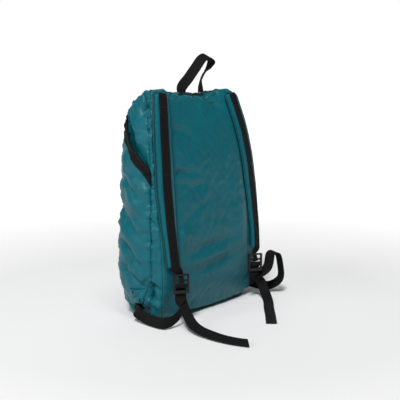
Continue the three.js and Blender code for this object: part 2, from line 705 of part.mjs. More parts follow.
// A point of a shoulder strap, across from its centre line and lifted off the bag. The strap is
// flat across and bridges the dents
function strapPoint(side, across, row, lift) {
  const { z } = outlineAt(STRAP_STATION, row);
  const column = side < 0 ? 'left' : 'right';
  const centre = curve(STRAP_LINE, 'height', column, z / BAG_HEIGHT) * BAG_WIDTH / 2;
  const station = stationAcross(side * centre, row);
  const rise = row > 1 ? 1 + (row - 1) * (hemRise(station, -STRAP_TOP_DROP) - 1) / STRAP_TURN : row;
  const ahead = smoothPoint(station + 0.04, rise).sub(smoothPoint(station - 0.04, rise)).normalize();
  const out = normalAt(station, rise);
  const edgeStation = stationAcross(side * centre + across, row);
  const swell = Math.max(foldDepth(smoothPoint(edgeStation, rise), out), 0);
  return smoothPoint(station, rise).addScaledVector(ahead, across).addScaledVector(out, lift + swell);
}

// Rises of a strap's rows, from its low end up the back and over the top edge to its root
const STRAP_TURN = hemRise(STRAP_STATION, -STRAP_TOP_DROP) - 1;
const STRAP_RISES = [
  STRAP_END_RISE,
  ...evenly(0, 1, WALL_ROWS).filter((rise) => rise > STRAP_END_RISE + 0.5 / WALL_ROWS),
  ...evenly(1, 1 + STRAP_TURN, TOP_ROWS).slice(1),
];

function strapWidth(rise) {
  const low = mix(STRAP_END_WIDTH, STRAP_WIDTH, clamp(3 * (rise - STRAP_END_RISE), 0, 1));
  return mix(low, STRAP_ROOT_WIDTH, clamp(5 * (rise - 0.9), 0, 1));
}

// How far a strap's underside is off the bag. Its low end hangs off the back
function strapLift(rise) {
  const hanging = clamp(1 - (rise - STRAP_END_RISE) / STRAP_HANG_RISE, 0, 1);
  return STRAP_CLEARANCE + STRAP_HANG * hanging ** 2 + STRAP_ROOT_LIFT * clamp(2 * (rise - 1), 0, 1);
}

function shoulderStrap(side, label) {
  const grid = STRAP_RISES.map((rise) => evenly(0, 1, 6).map((a) => {
    const across = (a - 0.5) * strapWidth(rise);
    const low = strapLift(rise);
    const high = low + mix(STRAP_EDGE, STRAP_PAD, Math.sin(Math.PI * a) ** 0.6);
    return { low: strapPoint(side, across, rise, low), high: strapPoint(side, across, rise, high) };
  }));
  addMesh(`shoulder_strap_${label}`, sheetGeometry(grid), TEAL);
}

// Rows of a band that follows stations of { point, out, width }. out is the way its outer side
// looks
function bandRows(stations, places = [-0.5, 0.5]) {
  return stations.map(({ point, out, width }, i) => {
    const before = stations[Math.max(i - 1, 0)].point;
    const after = stations[Math.min(i + 1, stations.length - 1)].point;
    const ahead = after.clone().sub(before).normalize();
    const across = ahead.clone().cross(out).normalize();
    const up = across.clone().cross(ahead).normalize();
    return places.map((place) => {
      const at = point.clone().addScaledVector(across, place * width);
      return {
        low: at.clone().addScaledVector(up, -WEBBING / 2),
        high: at.clone().addScaledVector(up, WEBBING / 2),
      };
    });
  });
}

// Slots of a ladder lock, from its middle, as shares of LOCK_LENGTH
const LOCK_SLOTS = [
  { name: 'strap slot', low: 0.22, high: 0.40 },
  { name: 'upper slot', low: -0.04, high: 0.11 },
  { name: 'lower slot', low: -0.31, high: -0.15 },
];

// Ladder locks: turn is round from facing -Y, out is their distance off the cloth, across is a
// share of half BAG_WIDTH
const LOCKS = [
  { label: 'left', side: -1, turn: -34, out: 15, across: -0.785 },
  { label: 'right', side: 1, turn: -14, out: 12, across: 0.75 },
];

// A lock's frame: x across it, y up it and z out of its front
function lockMatrix({ turn, out, across }) {
  const rise = riseAt(STRAP_STATION, LOCK_HEIGHT);
  const on = smoothPoint(stationAcross(across * BAG_WIDTH / 2, rise), rise);
  const matrix = new THREE.Matrix4();
  matrix.makeRotationFromEuler(new THREE.Euler(Math.PI / 2, 0, THREE.MathUtils.degToRad(turn), 'ZYX'));
  matrix.setPosition(on.x, on.y - out, LOCK_HEIGHT);
  return matrix;
}

function ladderLock(lock) {
  const slots = LOCK_SLOTS.map(({ low, high }) => (
    { half: LOCK_SLOT_WIDTH / 2, low: low * LOCK_LENGTH, high: high * LOCK_LENGTH }
  ));
  const plate = roundedPlate(LOCK_WIDTH, LOCK_LENGTH, LOCK_CORNER, LOCK_THICKNESS, slots);
  addMesh(`ladder_lock_${lock.label}`, plate, BLACK_PLASTIC).applyMatrix4(lockMatrix(lock));
}

// Webbing through a lock runs TURN_ROOM off its bars. y is up the lock and z out of its front, and
// oy and oz are the way the webbing's outer side looks
const TURN_ROOM = GAP + WEBBING / 2 + 0.1;
const LOCK_FACE = LOCK_THICKNESS / 2 + TURN_ROOM;
const slotLow = (k) => LOCK_SLOTS[k].low * LOCK_LENGTH;
const slotHigh = (k) => LOCK_SLOTS[k].high * LOCK_LENGTH;

// Points of a turn round the edge of a bar, from one angle to another, 0 looking up the lock and
// 90 out of its front
function barTurn(y, z, from, to) {
  return evenly(from, to, 2).map((angle) => {
    const turn = THREE.MathUtils.degToRad(angle);
    const [oy, oz] = [Math.cos(turn), Math.sin(turn)];
    return { y: y + TURN_ROOM * oy, z: z + TURN_ROOM * oz, oy, oz };
  });
}

// The strap's own webbing: behind the top bar, out through the strap slot and round the next bar
function neckRoute() {
  const half = LOCK_THICKNESS / 2;
  return [
    { y: LOCK_LENGTH / 2 + 1.5, z: -LOCK_FACE - 1.2, oy: 0, oz: 1 },
    { y: slotHigh(0) - 0.4, z: -LOCK_FACE, oy: 0.3, oz: 0.9 },
    ...barTurn(slotLow(0), half, 0, 90),
    ...barTurn(slotHigh(1), half, 90, 180),
    ...barTurn(slotHigh(1), -half, 180, 270),
    { y: slotLow(0) - 0.6, z: -LOCK_FACE - 0.1, oy: 0, oz: -1 },
  ];
}

// The lower strap: up behind the lock, round the bar between the lower slots, and down behind the
// bottom bar
function threadRoute() {
  const half = LOCK_THICKNESS / 2;
  const foot = -LOCK_LENGTH / 2;
  const behind = -LOCK_FACE - WEBBING - 0.6;
  return [
    { y: foot - 5, z: behind - 1, oy: 0, oz: -1 },
    { y: foot + 3, z: behind, oy: 0, oz: -1 },
    { y: slotHigh(2) - 2.4, z: behind, oy: 0, oz: -1 },
    { y: slotHigh(2) + 1.2, z: -LOCK_FACE - 0.2, oy: -0.3, oz: -0.9 },
    ...barTurn(slotLow(1), -half, -90, 0),
    ...barTurn(slotLow(1), half, 0, 90),
    ...barTurn(slotHigh(2), half, 90, 180),
    { y: slotLow(2) + 0.6, z: -LOCK_FACE, oy: -0.2, oz: 1 },
    { y: foot, z: -LOCK_FACE, oy: 0, oz: 1 },
    { y: foot - 8, z: -LOCK_FACE + 0.8, oy: 0, oz: 1 },
  ];
}

function throughLock(lock, route, width) {
  const matrix = lockMatrix(lock);
  return route.map(({ y, z, oy, oz }) => ({
    point: new THREE.Vector3(0, y, z).applyMatrix4(matrix),
    out: new THREE.Vector3(0, oy, oz).transformDirection(matrix),
    width,
  }));
}

// Stations along a free length of webbing that passes points with their outer side's way
function freeWebbing(points, steps, width) {
  const line = new THREE.CatmullRomCurve3(points.map(({ point }) => point), false, 'centripetal');
  const outs = points.map(({ out }) => out.clone().normalize());
  return evenly(0, 1, steps).map((t) => {
    const place = t * (points.length - 1);
    const i = Math.min(Math.floor(place), points.length - 2);
    return { point: line.getPoint(t), out: outs[i].clone().lerp(outs[i + 1], place - i), width };
  });
}

// The strip of webbing down the middle of a shoulder strap, which narrows into its lock
function strapWebbing(lock) {
  const upper = STRAP_RISES.map((rise) => [0.5, 0, -0.5].map((place) => {
    const lift = strapLift(rise) + STRAP_PAD + STRIP_CLEARANCE;
    return {
      low: strapPoint(lock.side, place * WEBBING_WIDTH, rise, lift),
      high: strapPoint(lock.side, place * WEBBING_WIDTH, rise, lift + WEBBING),
    };
  })).reverse();
  const foot = upper[upper.length - 1];
  const { low, high } = foot[1];
  const out = high.clone().sub(low).normalize();
  const ahead = low.clone().sub(upper[upper.length - 2][1].low).normalize();
  const step = ahead.multiplyScalar(STRAP_END_STEP).addScaledVector(out, STRIP_CLEARANCE);
  const end = foot.map((cell) => ({ low: cell.low.clone().add(step), high: cell.high.clone().add(step) }));
  const neck = bandRows(throughLock(lock, neckRoute(), LOCK_NECK_WIDTH), [-0.5, 0, 0.5]);
  const link = [1 / 3, 2 / 3].map((t) => end.map((cell, i) => ({
    low: cell.low.clone().lerp(neck[0][i].low, t),
    high: cell.high.clone().lerp(neck[0][i].high, t),
  })));
  const grid = [...upper, end, ...link, ...neck];
  addMesh(`strap_webbing_${lock.label}`, sheetGeometry(grid), BLACK_WEBBING);
}

// Anchor tabs on the sides, which hold the lower straps: narrow below, wide above
const TUCK_LOW = GAP + CLOTH + TUCK_CLEARANCE;

function anchorTab(side, label) {
  laidPiece(`anchor_tab_${label}`, TEAL, 5, 4, (a, b) => {
    const width = TAB_WIDTH * mix(0.7, 1, b) / SIDE_PER_STATION;
    const station = side * (TAB_STATION + (a - 0.5) * width);
    const z = TAB_CENTRE_HEIGHT + (b - 0.5) * TAB_HEIGHT;
    const low = TUCK_LOW + WEBBING + TUCK_CLEARANCE;
    return { station, rise: riseAt(station, z), low, high: low + TAB };
  });
}

// Free lengths of the lower straps, from the tab to the lock, as shares of STRAP_LOOP_REACH from the
// bag's back corner at floor level: side is away from the bag, back behind it and up above the
// floor. faceSide, faceBack and faceUp are the way the outer side looks
const LOOP_ROUTES = {
  left: [
    { side: 0.17, back: -0.50, up: 0.20, faceSide: 1.0, faceBack: -0.2, faceUp: 0.2 },
    { side: 0.22, back: -0.22, up: 0.125, faceSide: 1.0, faceBack: 0.3, faceUp: 0.2 },
    { side: 0.27, back: 0.05, up: 0.115, faceSide: 1.0, faceBack: 0.4, faceUp: 0.1 },
    { side: 0.25, back: 0.25, up: 0.115, faceSide: 0.7, faceBack: 0.9, faceUp: 0.0 },
    { side: 0.08, back: 0.32, up: 0.15, faceSide: 0.0, faceBack: 1.0, faceUp: -0.1 },
    { side: -0.12, back: 0.32, up: 0.26, faceSide: -0.1, faceBack: 1.0, faceUp: -0.2 },
  ],
  right: [
    { side: 0.24, back: -0.24, up: 0.16, faceSide: 0.9, faceBack: 0.1, faceUp: -0.4 },
    { side: 0.36, back: 0.14, up: 0.12, faceSide: 0.9, faceBack: 0.2, faceUp: -0.5 },
    { side: 0.43, back: 0.38, up: 0.30, faceSide: 1.0, faceBack: 0.3, faceUp: -0.2 },
    { side: 0.42, back: 0.38, up: 0.60, faceSide: 1.0, faceBack: 0.3, faceUp: 0.3 },
    { side: 0.30, back: 0.37, up: 0.86, faceSide: 0.6, faceBack: 0.2, faceUp: 0.9 },
    { side: 0.10, back: 0.36, up: 0.88, faceSide: -0.4, faceBack: 0.2, faceUp: 1.0 },
    { side: 0.02, back: 0.33, up: 0.60, faceSide: -0.9, faceBack: 0.3, faceUp: 0.3 },
    { side: -0.28, back: 0.16, up: 0.36, faceSide: -0.3, faceBack: -0.9, faceUp: 0.0 },
  ],
};

// Tails from the locks to their cut ends, as shares of TAIL_REACH from the lock's foot
const TAIL_ROUTES = {
  left: [
    { side: 0.08, back: 0.14, up: 0.200, faceSide: 0.3, faceBack: 0.8, faceUp: 0.6 },
    { side: 0.16, back: 0.30, up: 0.095, faceSide: 0.4, faceBack: 0.4, faceUp: 0.9 },
    { side: 0.21, back: 0.45, up: 0.058, faceSide: 0.4, faceBack: 0.1, faceUp: 0.9 },
    { side: 0.235, back: 0.63, up: 0.046, faceSide: 0.35, faceBack: 0.0, faceUp: 0.9 },
    { side: 0.24, back: 0.80, up: 0.040, faceSide: 0.3, faceBack: 0.0, faceUp: 0.9 },
    { side: 0.22, back: 0.97, up: 0.036, faceSide: 0.3, faceBack: 0.0, faceUp: 0.9 },
    { side: 0.18, back: 1.12, up: 0.034, faceSide: 0.3, faceBack: 0.0, faceUp: 0.9 },
  ],
  right: [
    { side: 0.10, back: 0.04, up: 0.200, faceSide: -0.7, faceBack: 0.6, faceUp: 0.3 },
    { side: 0.08, back: 0.12, up: 0.085, faceSide: -0.5, faceBack: 0.4, faceUp: 0.8 },
    { side: -0.03, back: 0.24, up: 0.020, faceSide: -0.2, faceBack: 0.2, faceUp: 1.0 },
    { side: -0.32, back: 0.45, up: 0.007, faceSide: 0.0, faceBack: 0.0, faceUp: 1.0 },
    { side: -0.60, back: 0.66, up: 0.007, faceSide: 0.0, faceBack: 0.0, faceUp: 1.0 },
    { side: -0.88, back: 0.86, up: 0.007, faceSide: 0.0, faceBack: 0.0, faceUp: 1.0 },
  ],
};

function routePoint(row, side, from, reach) {
  return {
    point: new THREE.Vector3(from.x + side * row.side * reach, from.y - row.back * reach, row.up * reach),
    out: new THREE.Vector3(side * row.faceSide, -row.faceBack, row.faceUp),
  };
}

function lowerWebbing(lock) {
  const { side, label } = lock;
  const corner = smoothPoint(side, riseAt(side, BASE_RADIUS * 2)).setZ(0);
  const tuck = [TAB_HEIGHT / 3, -TAB_HEIGHT / 6, -TAB_HEIGHT / 2 - TUCK_DROP].map((above) => {
    const z = TAB_CENTRE_HEIGHT + above;
    const station = side * TAB_STATION;
    const rise = riseAt(station, z);
    return { point: clothPoint(station, rise, TUCK_LOW + WEBBING / 2), out: normalAt(station, rise) };
  });
  const thread = throughLock(lock, threadRoute(), WEBBING_WIDTH);
  const outward = thread[thread.length - 1];
  const loop = freeWebbing([
    ...tuck,
    ...LOOP_ROUTES[label].map((row) => routePoint(row, side, corner, STRAP_LOOP_REACH)),
    thread[0],
  ], 26, WEBBING_WIDTH);
  const tail = freeWebbing([
    outward,
    ...TAIL_ROUTES[label].map((row) => routePoint(row, side, outward.point, TAIL_REACH)),
  ], 18, WEBBING_WIDTH);
  const rows = bandRows([...loop.slice(0, -1), ...thread, ...tail.slice(1)]);
  addMesh(`lower_webbing_${label}`, sheetGeometry(rows), BLACK_WEBBING);
}

// Haul loop: across from the bag's middle, back behind its feet and up from them, as shares of
// HAUL_RISE, with the way its outer side looks
const HAUL_ROUTE = [
  { across: -0.385, back: 0.00, up: 0.12, faceX: -0.5, faceY: -0.9, faceZ: 0.1 },
  { across: -0.14, back: 0.02, up: 0.36, faceX: -0.8, faceY: -0.6, faceZ: 0.2 },
  { across: 0.14, back: 0.03, up: 0.63, faceX: -0.7, faceY: -0.6, faceZ: 0.4 },
  { across: 0.42, back: 0.03, up: 0.88, faceX: -0.4, faceY: -0.6, faceZ: 0.8 },
  { across: 0.66, back: 0.02, up: 0.94, faceX: 0.3, faceY: -0.5, faceZ: 1.0 },
  { across: 0.84, back: 0.00, up: 0.80, faceX: 0.9, faceY: -0.4, faceZ: 0.4 },
  { across: 0.68, back: -0.01, up: 0.58, faceX: 0.8, faceY: -0.6, faceZ: -0.2 },
  { across: 0.45, back: -0.01, up: 0.38, faceX: 0.7, faceY: -0.8, faceZ: -0.1 },
  { across: 0.385, back: 0.00, up: 0.14, faceX: 0.6, faceY: -0.8, faceZ: 0.0 },
];

function haulLoop() {
  const spread = HAUL_FOOT_SPREAD / 2;
  const foot = (x, out) => {
    const station = stationAcross(HAUL_CENTRE + x, 1.8);
    return { point: clothPoint(station, hemRise(station, 0), HAUL_CLEARANCE), out };
  };
  const feet = [foot(-spread, new THREE.Vector3(-0.2, -1, 0)), foot(spread, new THREE.Vector3(0.5, -0.8, 0))];
  const base = feet[0].point.clone().lerp(feet[1].point, 0.5);
  const rows = HAUL_ROUTE.map(({ across, back, up, faceX, faceY, faceZ }) => ({
    point: base.clone().add(new THREE.Vector3(across, -back, up).multiplyScalar(HAUL_RISE)),
    out: new THREE.Vector3(faceX, faceY, faceZ),
  }));
  const stations = freeWebbing([feet[0], ...rows, feet[1]], 30, WEBBING_WIDTH);
  addMesh('haul_loop', sheetGeometry(bandRows(stations)), BLACK_WEBBING);
}

wallPanel('back_panel', BACK_STATIONS, {});
for (const [side, label] of [[-1, 'left'], [1, 'right']]) {
  wallPanel(`side_gusset_${label}`, gussetStations(side), { gather: GATHER_DEPTH });
  wallPanel(`side_panel_${label}`, sideStations(side), { drop: pocketDrop });
  sidePocket(side, label);
  shoulderStrap(side, label);
  anchorTab(side, label);
}
wallPanel('front_panel', FRONT_STATIONS, {});
basePanel();
topPanel();
zipTapes();
zipSlider();
for (const lock of LOCKS) {
  ladderLock(lock);
  strapWebbing(lock);
  lowerWebbing(lock);
}
haulLoop();

export default bag;
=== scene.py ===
"""Packable backpack: nylon shell, padded straps, webbing, ladder locks, side pockets and zip."""

import math

import bpy
import numpy as np
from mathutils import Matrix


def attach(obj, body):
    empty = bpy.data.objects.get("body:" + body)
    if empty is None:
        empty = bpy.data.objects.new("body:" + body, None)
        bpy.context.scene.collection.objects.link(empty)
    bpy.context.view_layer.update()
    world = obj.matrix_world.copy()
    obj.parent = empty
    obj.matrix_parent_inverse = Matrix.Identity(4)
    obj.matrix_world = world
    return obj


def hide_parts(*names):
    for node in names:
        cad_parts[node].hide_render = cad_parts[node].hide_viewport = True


bl_info = {
    "name": "Packable backpack",
    "version": (1, 0, 0),
    "blender": (4, 5, 0),
    "location": "View3D > Sidebar > Backpack",
    "description": "Builds a soft nylon backpack with padded straps and loose webbing",
    "category": "Add Mesh",
}

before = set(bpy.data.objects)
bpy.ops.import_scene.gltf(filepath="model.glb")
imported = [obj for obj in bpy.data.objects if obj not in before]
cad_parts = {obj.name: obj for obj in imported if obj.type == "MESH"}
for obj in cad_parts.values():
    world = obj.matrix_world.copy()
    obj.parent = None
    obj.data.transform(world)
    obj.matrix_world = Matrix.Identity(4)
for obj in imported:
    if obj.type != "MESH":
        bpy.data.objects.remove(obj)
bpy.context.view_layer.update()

# Lengths are in millimetres until a mesh is made
MM = 0.001

# Body of the bag
BACK_CORNER_RADIUS = 9
FRONT_CORNER_RADIUS = 42
BACK_SWELL = 12
SIDE_SWELL = 8
FRONT_SWELL = 14
TOP_BACK_RADIUS = 16
TOP_FRONT_RADIUS = 46
TOP_CROWN = 3
BASE_RADIUS = 22
BASE_SEAM = -0.5
GUSSET_WIDTH = 26
SPINE_SHARE = 0.8
CLOTH = 0.7
SEAM_TUCK = 1.5
SEAM_REACH = 2.0

# Side pockets and zip
POCKET_DROP = 8.5
POCKET_EASE = 3.4
POCKET_BOTTOM = 24
POCKET_LOW_MOUTH = 276
POCKET_HIGH_MOUTH = 374
ZIP_TAPE_WIDTH = 11
ZIP_MOUTH_LENGTH = 96
ZIP_MOUTH_GAPE = 13
ZIP_RAMP = 2 / 14
TOOTH_PITCH = 1.5

# Straps
STRAP_END_WIDTH = 34
STRAP_ROOT_WIDTH = 40
STRAP_CLEARANCE = 0.9
STRAP_ROOT_LIFT = 1.2
STRAP_HANG = 5
STRAP_HANG_RISE = 0.2
STRAP_END_RISE = 0.232
STRAP_TOP_DROP = 2
STRAP_ROOT_SHARE = 0.3
STRAP_STATION = 0.85
LOCK_NECK_WIDTH = 9
LOCK_WIDTH = 30
LOCK_LENGTH = 36
LOCK_THICKNESS = 3.6
LOCK_SLOT_WIDTH = 22
LOCK_HEIGHT = 74
STRAP_LOOP_REACH = 100
TAIL_REACH = 150
TAB_STATION = 2.3
TAB_WIDTH = 34
TAB_HEIGHT = 26
TAB_CENTRE_HEIGHT = 46
SIDE_PER_STATION = 88
TUCK_LOW = 2.6
HAUL_FOOT_SPREAD = 57
HAUL_CENTRE = -3
HAUL_RISE = 74
HAUL_CLEARANCE = 2.8

# Cells of the surface: round the bag between its seams, and up its base, wall, top edge and top
SEAM_COLUMNS = (34, 6, 20, 34)
BASE_ROWS = 6
WALL_ROWS = 84
TURN_ROWS = 12
CAP_ROWS = 12
FINER = 2


def table(columns, rows):
    """Turns rows under named columns into arrays by name."""
    return {name: np.array([row[i] for row in rows], float) for i, name in enumerate(columns.split())}


# Widths and depths at each height. Heights are shares of the bag's height, width of half its width,
# back and front of its depth, and swells and gusset of their named sizes
LEVELS = table("height width back front back_swell side_swell front_swell gusset", [
    (0.00, 0.895, -0.400, 0.375, 0.3, 0.2, 0.3, 0.90),
    (0.06, 0.930, -0.440, 0.405, 0.5, 0.5, 0.6, 1.00),
    (0.18, 0.975, -0.500, 0.436, 0.9, 0.9, 0.9, 1.00),
    (0.32, 1.000, -0.500, 0.430, 1.0, 1.0, 1.0, 0.92),
    (0.45, 0.992, -0.455, 0.412, 1.0, 1.0, 1.0, 0.74),
    (0.59, 0.980, -0.400, 0.392, 1.0, 1.0, 1.0, 0.52),
    (0.72, 0.962, -0.350, 0.376, 0.9, 0.9, 1.0, 0.45),
    (0.86, 0.916, -0.270, 0.366, 0.6, 0.5, 0.9, 0.42),
    (1.00, 0.862, -0.168, 0.350, 0.2, 0.2, 0.6, 0.40),
])

# Edges by station: 0 back centre, 1 back corner, 2 side seam, 3 front corner, 4 front centre
EDGES = table("station peak top base hem", [
    (0.0, 0.990, 0.00, 0.60, 0.80),
    (0.5, 0.992, 0.00, 0.60, 0.80),
    (0.85, 1.012, 0.05, 0.65, 0.78),
    (1.5, 1.006, 0.15, 0.85, 0.70),
    (2.0, 1.002, 0.22, 0.90, 0.62),
    (3.0, 0.985, 0.60, 1.00, 0.44),
    (4.0, 0.982, 0.90, 1.00, 0.40),
])

STRAP_LINE = table("height left right", [
    (0.20, 0.850, 0.765),
    (0.35, 0.858, 0.832),
    (0.50, 0.853, 0.846),
    (0.64, 0.838, 0.835),
    (0.80, 0.790, 0.790),
    (0.92, 0.725, 0.725),
    (1.02, 0.665, 0.665),
])

# Folds: station, height share, turn in degrees, half length and half width in mm, depth in mm and
# how sharp the fold is, 0 to 1
FOLDS = (
    ("sag under the haul loop", -0.1, 0.93, 0, 70, 31, -7.6, 0.0),
    ("dent by the left strap", -0.55, 0.83, -28, 39, 12, -8.1, 0.4),
    ("edge of that dent", -0.42, 0.80, -34, 34, 5, 2.9, 0.6),
    ("crescent crease", -0.62, 0.65, -8, 34, 7, -7.7, 0.6),
    ("lip of the crescent", -0.60, 0.63, -8, 30, 5, 3.1, 0.6),
    ("small dent", -0.28, 0.585, 0, 17, 8, -3.8, 0.4),
    ("swell by the left strap", -0.66, 0.37, 20, 18, 15, 7.4, 0.0),
    ("upper wave", -0.15, 0.31, 6, 63, 10, -6.0, 0.3),
    ("lower wave", -0.10, 0.22, 8, 63, 10, -6.0, 0.3),
    ("fold at the right strap root", 0.35, 0.955, -38, 28, 9, -11.1, 0.5),
    ("right flank swell", 0.52, 0.45, 88, 112, 31, 5.7, 0.0),
    ("deep left pocket fold", -2.55, 0.43, -38, 42, 10, -9.5, 0.5),
    ("left pocket swell", -2.35, 0.53, -35, 25, 14, 4.7, 0.2),
    ("left upper pocket fold", -2.45, 0.58, -48, 30, 7, -7.0, 0.6),
    ("left middle crease", -2.50, 0.30, -40, 42, 8, -7.9, 0.6),
    ("left low crease", -2.40, 0.19, -36, 39, 8, -7.9, 0.6),
    ("left cross crease", -2.60, 0.24, 42, 30, 6, -4.1, 0.7),
    ("left bottom seam fold", -2.00, 0.13, 90, 24, 8, -9.5, 0.4),
    ("left bottom corner lump", -1.60, 0.07, 20, 20, 17, 5.7, 0.0),
    ("left corner tuck", -1.75, 0.16, -30, 16, 6, -5.4, 0.5),
    ("left top crumple", -2.05, 0.93, 60, 14, 8, -9.9, 0.4),
    ("second top crumple", -1.55, 0.975, -35, 14, 6, -7.0, 0.6),
    ("right pocket fold", 2.50, 0.46, 36, 39, 12, -7.6, 0.5),
    ("right low crease", 2.40, 0.22, 30, 39, 10, -6.1, 0.6),
    ("right cross crease", 2.60, 0.32, -40, 30, 7, -4.9, 0.7),
    ("right bottom seam fold", 2.00, 0.13, 90, 24, 8, -9.5, 0.4),
    ("front left crease", -3.55, 0.60, -20, 56, 13, -6.6, 0.4),
    ("front right crease", 3.60, 0.36, 24, 63, 13, -6.6, 0.4),
    ("front low wave", 3.95, 0.17, 4, 70, 12, -5.3, 0.3),
    ("front top sag", -3.90, 0.80, 0, 63, 16, -5.3, 0.2),
    ("roll over the left strap root", -0.84, 1.0, 4, 26, 9, 6.0, 0.0),
    ("roll over the right strap root", 0.84, 1.0, -4, 26, 9, 6.0, 0.0),
    ("crumple inside the left strap", -0.52, 0.985, 50, 13, 5, -5.0, 0.6),
    ("second crumple there", -0.60, 0.95, -55, 12, 4.5, -4.0, 0.7),
)

# Small random creases: stations, rises, how many, half length, half width, depth, turn and its spread
CRINKLES = (
    ("back panel", -1.0, 1.0, 0.02, 1.0, 22, 34, 8.0, 1.7, 10, 60),
    ("back top", -0.9, 0.9, 0.86, 1.6, 22, 20, 5.0, 2.2, 20, 60),
    ("left side", -3.0, -1.0, 0.0, 1.0, 40, 44, 8.0, 2.0, -38, 26),
    ("left gusset", -2.1, -1.0, 0.35, 1.0, 40, 12, 3.4, 1.7, 10, 34),
    ("right side", 1.0, 3.0, 0.0, 1.0, 40, 44, 8.0, 2.0, 38, 26),
    ("right gusset", 1.0, 2.1, 0.35, 1.0, 40, 12, 3.4, 1.7, -10, 34),
    ("left bottom", -2.9, -1.0, -0.5, 0.18, 34, 20, 4.6, 2.6, 10, 60),
    ("right bottom", 1.0, 2.9, -0.5, 0.18, 34, 20, 4.6, 2.6, -10, 60),
    ("front panel", 3.0, 5.0, 0.0, 1.0, 80, 40, 6.5, 2.8, 0, 60),
    ("top", -4.0, 4.0, 1.1, 2.9, 90, 22, 5.0, 2.6, 0, 90),
    ("back bottom", -1.0, 1.0, -0.5, 0.12, 26, 20, 4.5, 0.9, 0, 30),
)

# Puckers by seam: station of an upright seam, height, reach to either side
UPRIGHT_SEAMS = (
    ("back corner", 1.0, 1.5, 9),
    ("side seam", 2.0, 2.4, 10),
    ("front corner", 3.0, 1.9, 14),
)
HEM_PUCKER = 1.2
HEM_REACH = 13
BASE_PUCKER = 1.3
BASE_REACH = 15
GATHERS = (("top", 357, 34), ("middle", 178, 62), ("foot", 30, 26))

LOCK_SLOTS = ((0.22, 0.40), (-0.04, 0.11), (-0.31, -0.15))
LOCKS = (("left", -1, -34, 15, -0.785), ("right", 1, -30, 13, 0.75))

# Stage, in metres: lights with place, size and power in watts, floor and camera
LIGHTS = (
    ("side softbox", (-2.2, 0.5, 1.1), 0.9, 9),
    ("top softbox", (-0.5, -0.5, 2.2), 0.7, 9),
)
LIGHT_TARGET = (0, 0, 0.2)
SUN_FROM = (-0.80, -0.42, 1.05)
SUN_STRENGTH = 2.3
SUN_ANGLE = 12
AMBIENT = 0.08
BACKDROP_WAY = (0.77, 0.636, 0.0)
BACKDROP_START = 0.55
BACKDROP_RISE = 2.6
FLOOR_REACH = 14.0
FLOOR_DROP = 0.0006
FLOOR_SHADE = 0.93
FLOOR_GLOW = 0.5
FLOOR_GLOW_START = 0.45
FLOOR_GLOW_RISE = 0.8
CAMERA_PLACE = (-1.195, -0.985, 0.422)
CAMERA_DOWN = 7.97
CAMERA_AZIMUTH = -50.5
CAMERA_LENS = 72
CAMERA_SENSOR = 36
CAMERA_SHIFT = 0.035

# Brightness, beside the cloth's, of the straps' dark piping line and of the shade painted in its groove and
# along the straps' edges
PIPING_AND_PAINTED_SHADE = 0.34

# Free lengths of webbing: aside, back, up, and the way that the outer side looks
LOOP_ROUTES = {
    "left": (
        (0.17, -0.50, 0.20, 1.0, -0.2, 0.2),
        (0.22, -0.22, 0.125, 1.0, 0.3, 0.2),
        (0.27, 0.05, 0.115, 1.0, 0.4, 0.1),
        (0.25, 0.25, 0.115, 0.7, 0.9, 0.0),
        (0.08, 0.32, 0.15, 0.0, 1.0, -0.1),
        (-0.12, 0.32, 0.26, -0.1, 1.0, -0.2),
    ),
    "right": (
        (0.24, -0.24, 0.16, 0.9, 0.1, -0.4),
        (0.36, 0.14, 0.12, 0.9, 0.2, -0.5),
        (0.43, 0.38, 0.30, 1.0, 0.3, -0.2),
        (0.42, 0.38, 0.60, 1.0, 0.3, 0.3),
        (0.30, 0.37, 0.86, 0.6, 0.2, 0.9),
        (0.10, 0.36, 0.88, -0.4, 0.2, 1.0),
        (0.02, 0.33, 0.60, -0.9, 0.3, 0.3),
        (-0.28, 0.16, 0.36, -0.3, -0.9, 0.0),
    ),
}
TAIL_ROUTES = {
    "left": (
        (0.08, 0.14, 0.200, 0.3, 0.8, 0.6),
        (0.16, 0.30, 0.095, 0.4, 0.4, 0.9),
        (0.21, 0.45, 0.058, 0.4, 0.1, 0.9),
        (0.235, 0.63, 0.046, 0.35, 0.0, 0.9),
        (0.24, 0.80, 0.040, 0.3, 0.0, 0.9),
        (0.22, 0.97, 0.036, 0.3, 0.0, 0.9),
        (0.18, 1.12, 0.034, 0.3, 0.0, 0.9),
    ),
    "right": (
        (0.10, 0.04, 0.200, -0.7, 0.6, 0.3),
        (0.08, 0.12, 0.085, -0.5, 0.4, 0.8),
        (-0.03, 0.24, 0.020, -0.2, 0.2, 1.0),
        (-0.32, 0.45, 0.007, 0.0, 0.0, 1.0),
        (-0.60, 0.66, 0.007, 0.0, 0.0, 1.0),
        (-0.88, 0.86, 0.007, 0.0, 0.0, 1.0),
    ),
}
HAUL_ROUTE = (
    (-0.385, 0.00, 0.12, -0.5, -0.9, 0.1),
    (-0.14, 0.02, 0.36, -0.8, -0.6, 0.2),
    (0.14, 0.03, 0.63, -0.7, -0.6, 0.4),
    (0.42, 0.03, 0.88, -0.4, -0.6, 0.8),
    (0.66, 0.02, 0.94, 0.3, -0.5, 1.0),
    (0.84, 0.00, 0.80, 1.0, 0.0, 0.3),
    (0.68, -0.01, 0.58, 0.95, -0.2, 0.1),
    (0.45, -0.01, 0.38, 0.62, -0.78, 0.0),
    (0.385, 0.00, 0.14, 0.2, -0.98, 0.0),
)


def mix(a, b, t):
    return a + (b - a) * t


def bell(x):
    return np.exp(-np.square(x))


def ease(x, low, high):
    """Smooth step from 0 at low to 1 at high."""
    t = np.clip((x - low) / (high - low), 0, 1)
    return t * t * (3 - 2 * t)


def unit(v):
    return v / np.maximum(np.linalg.norm(v, axis=-1, keepdims=True), 1e-9)


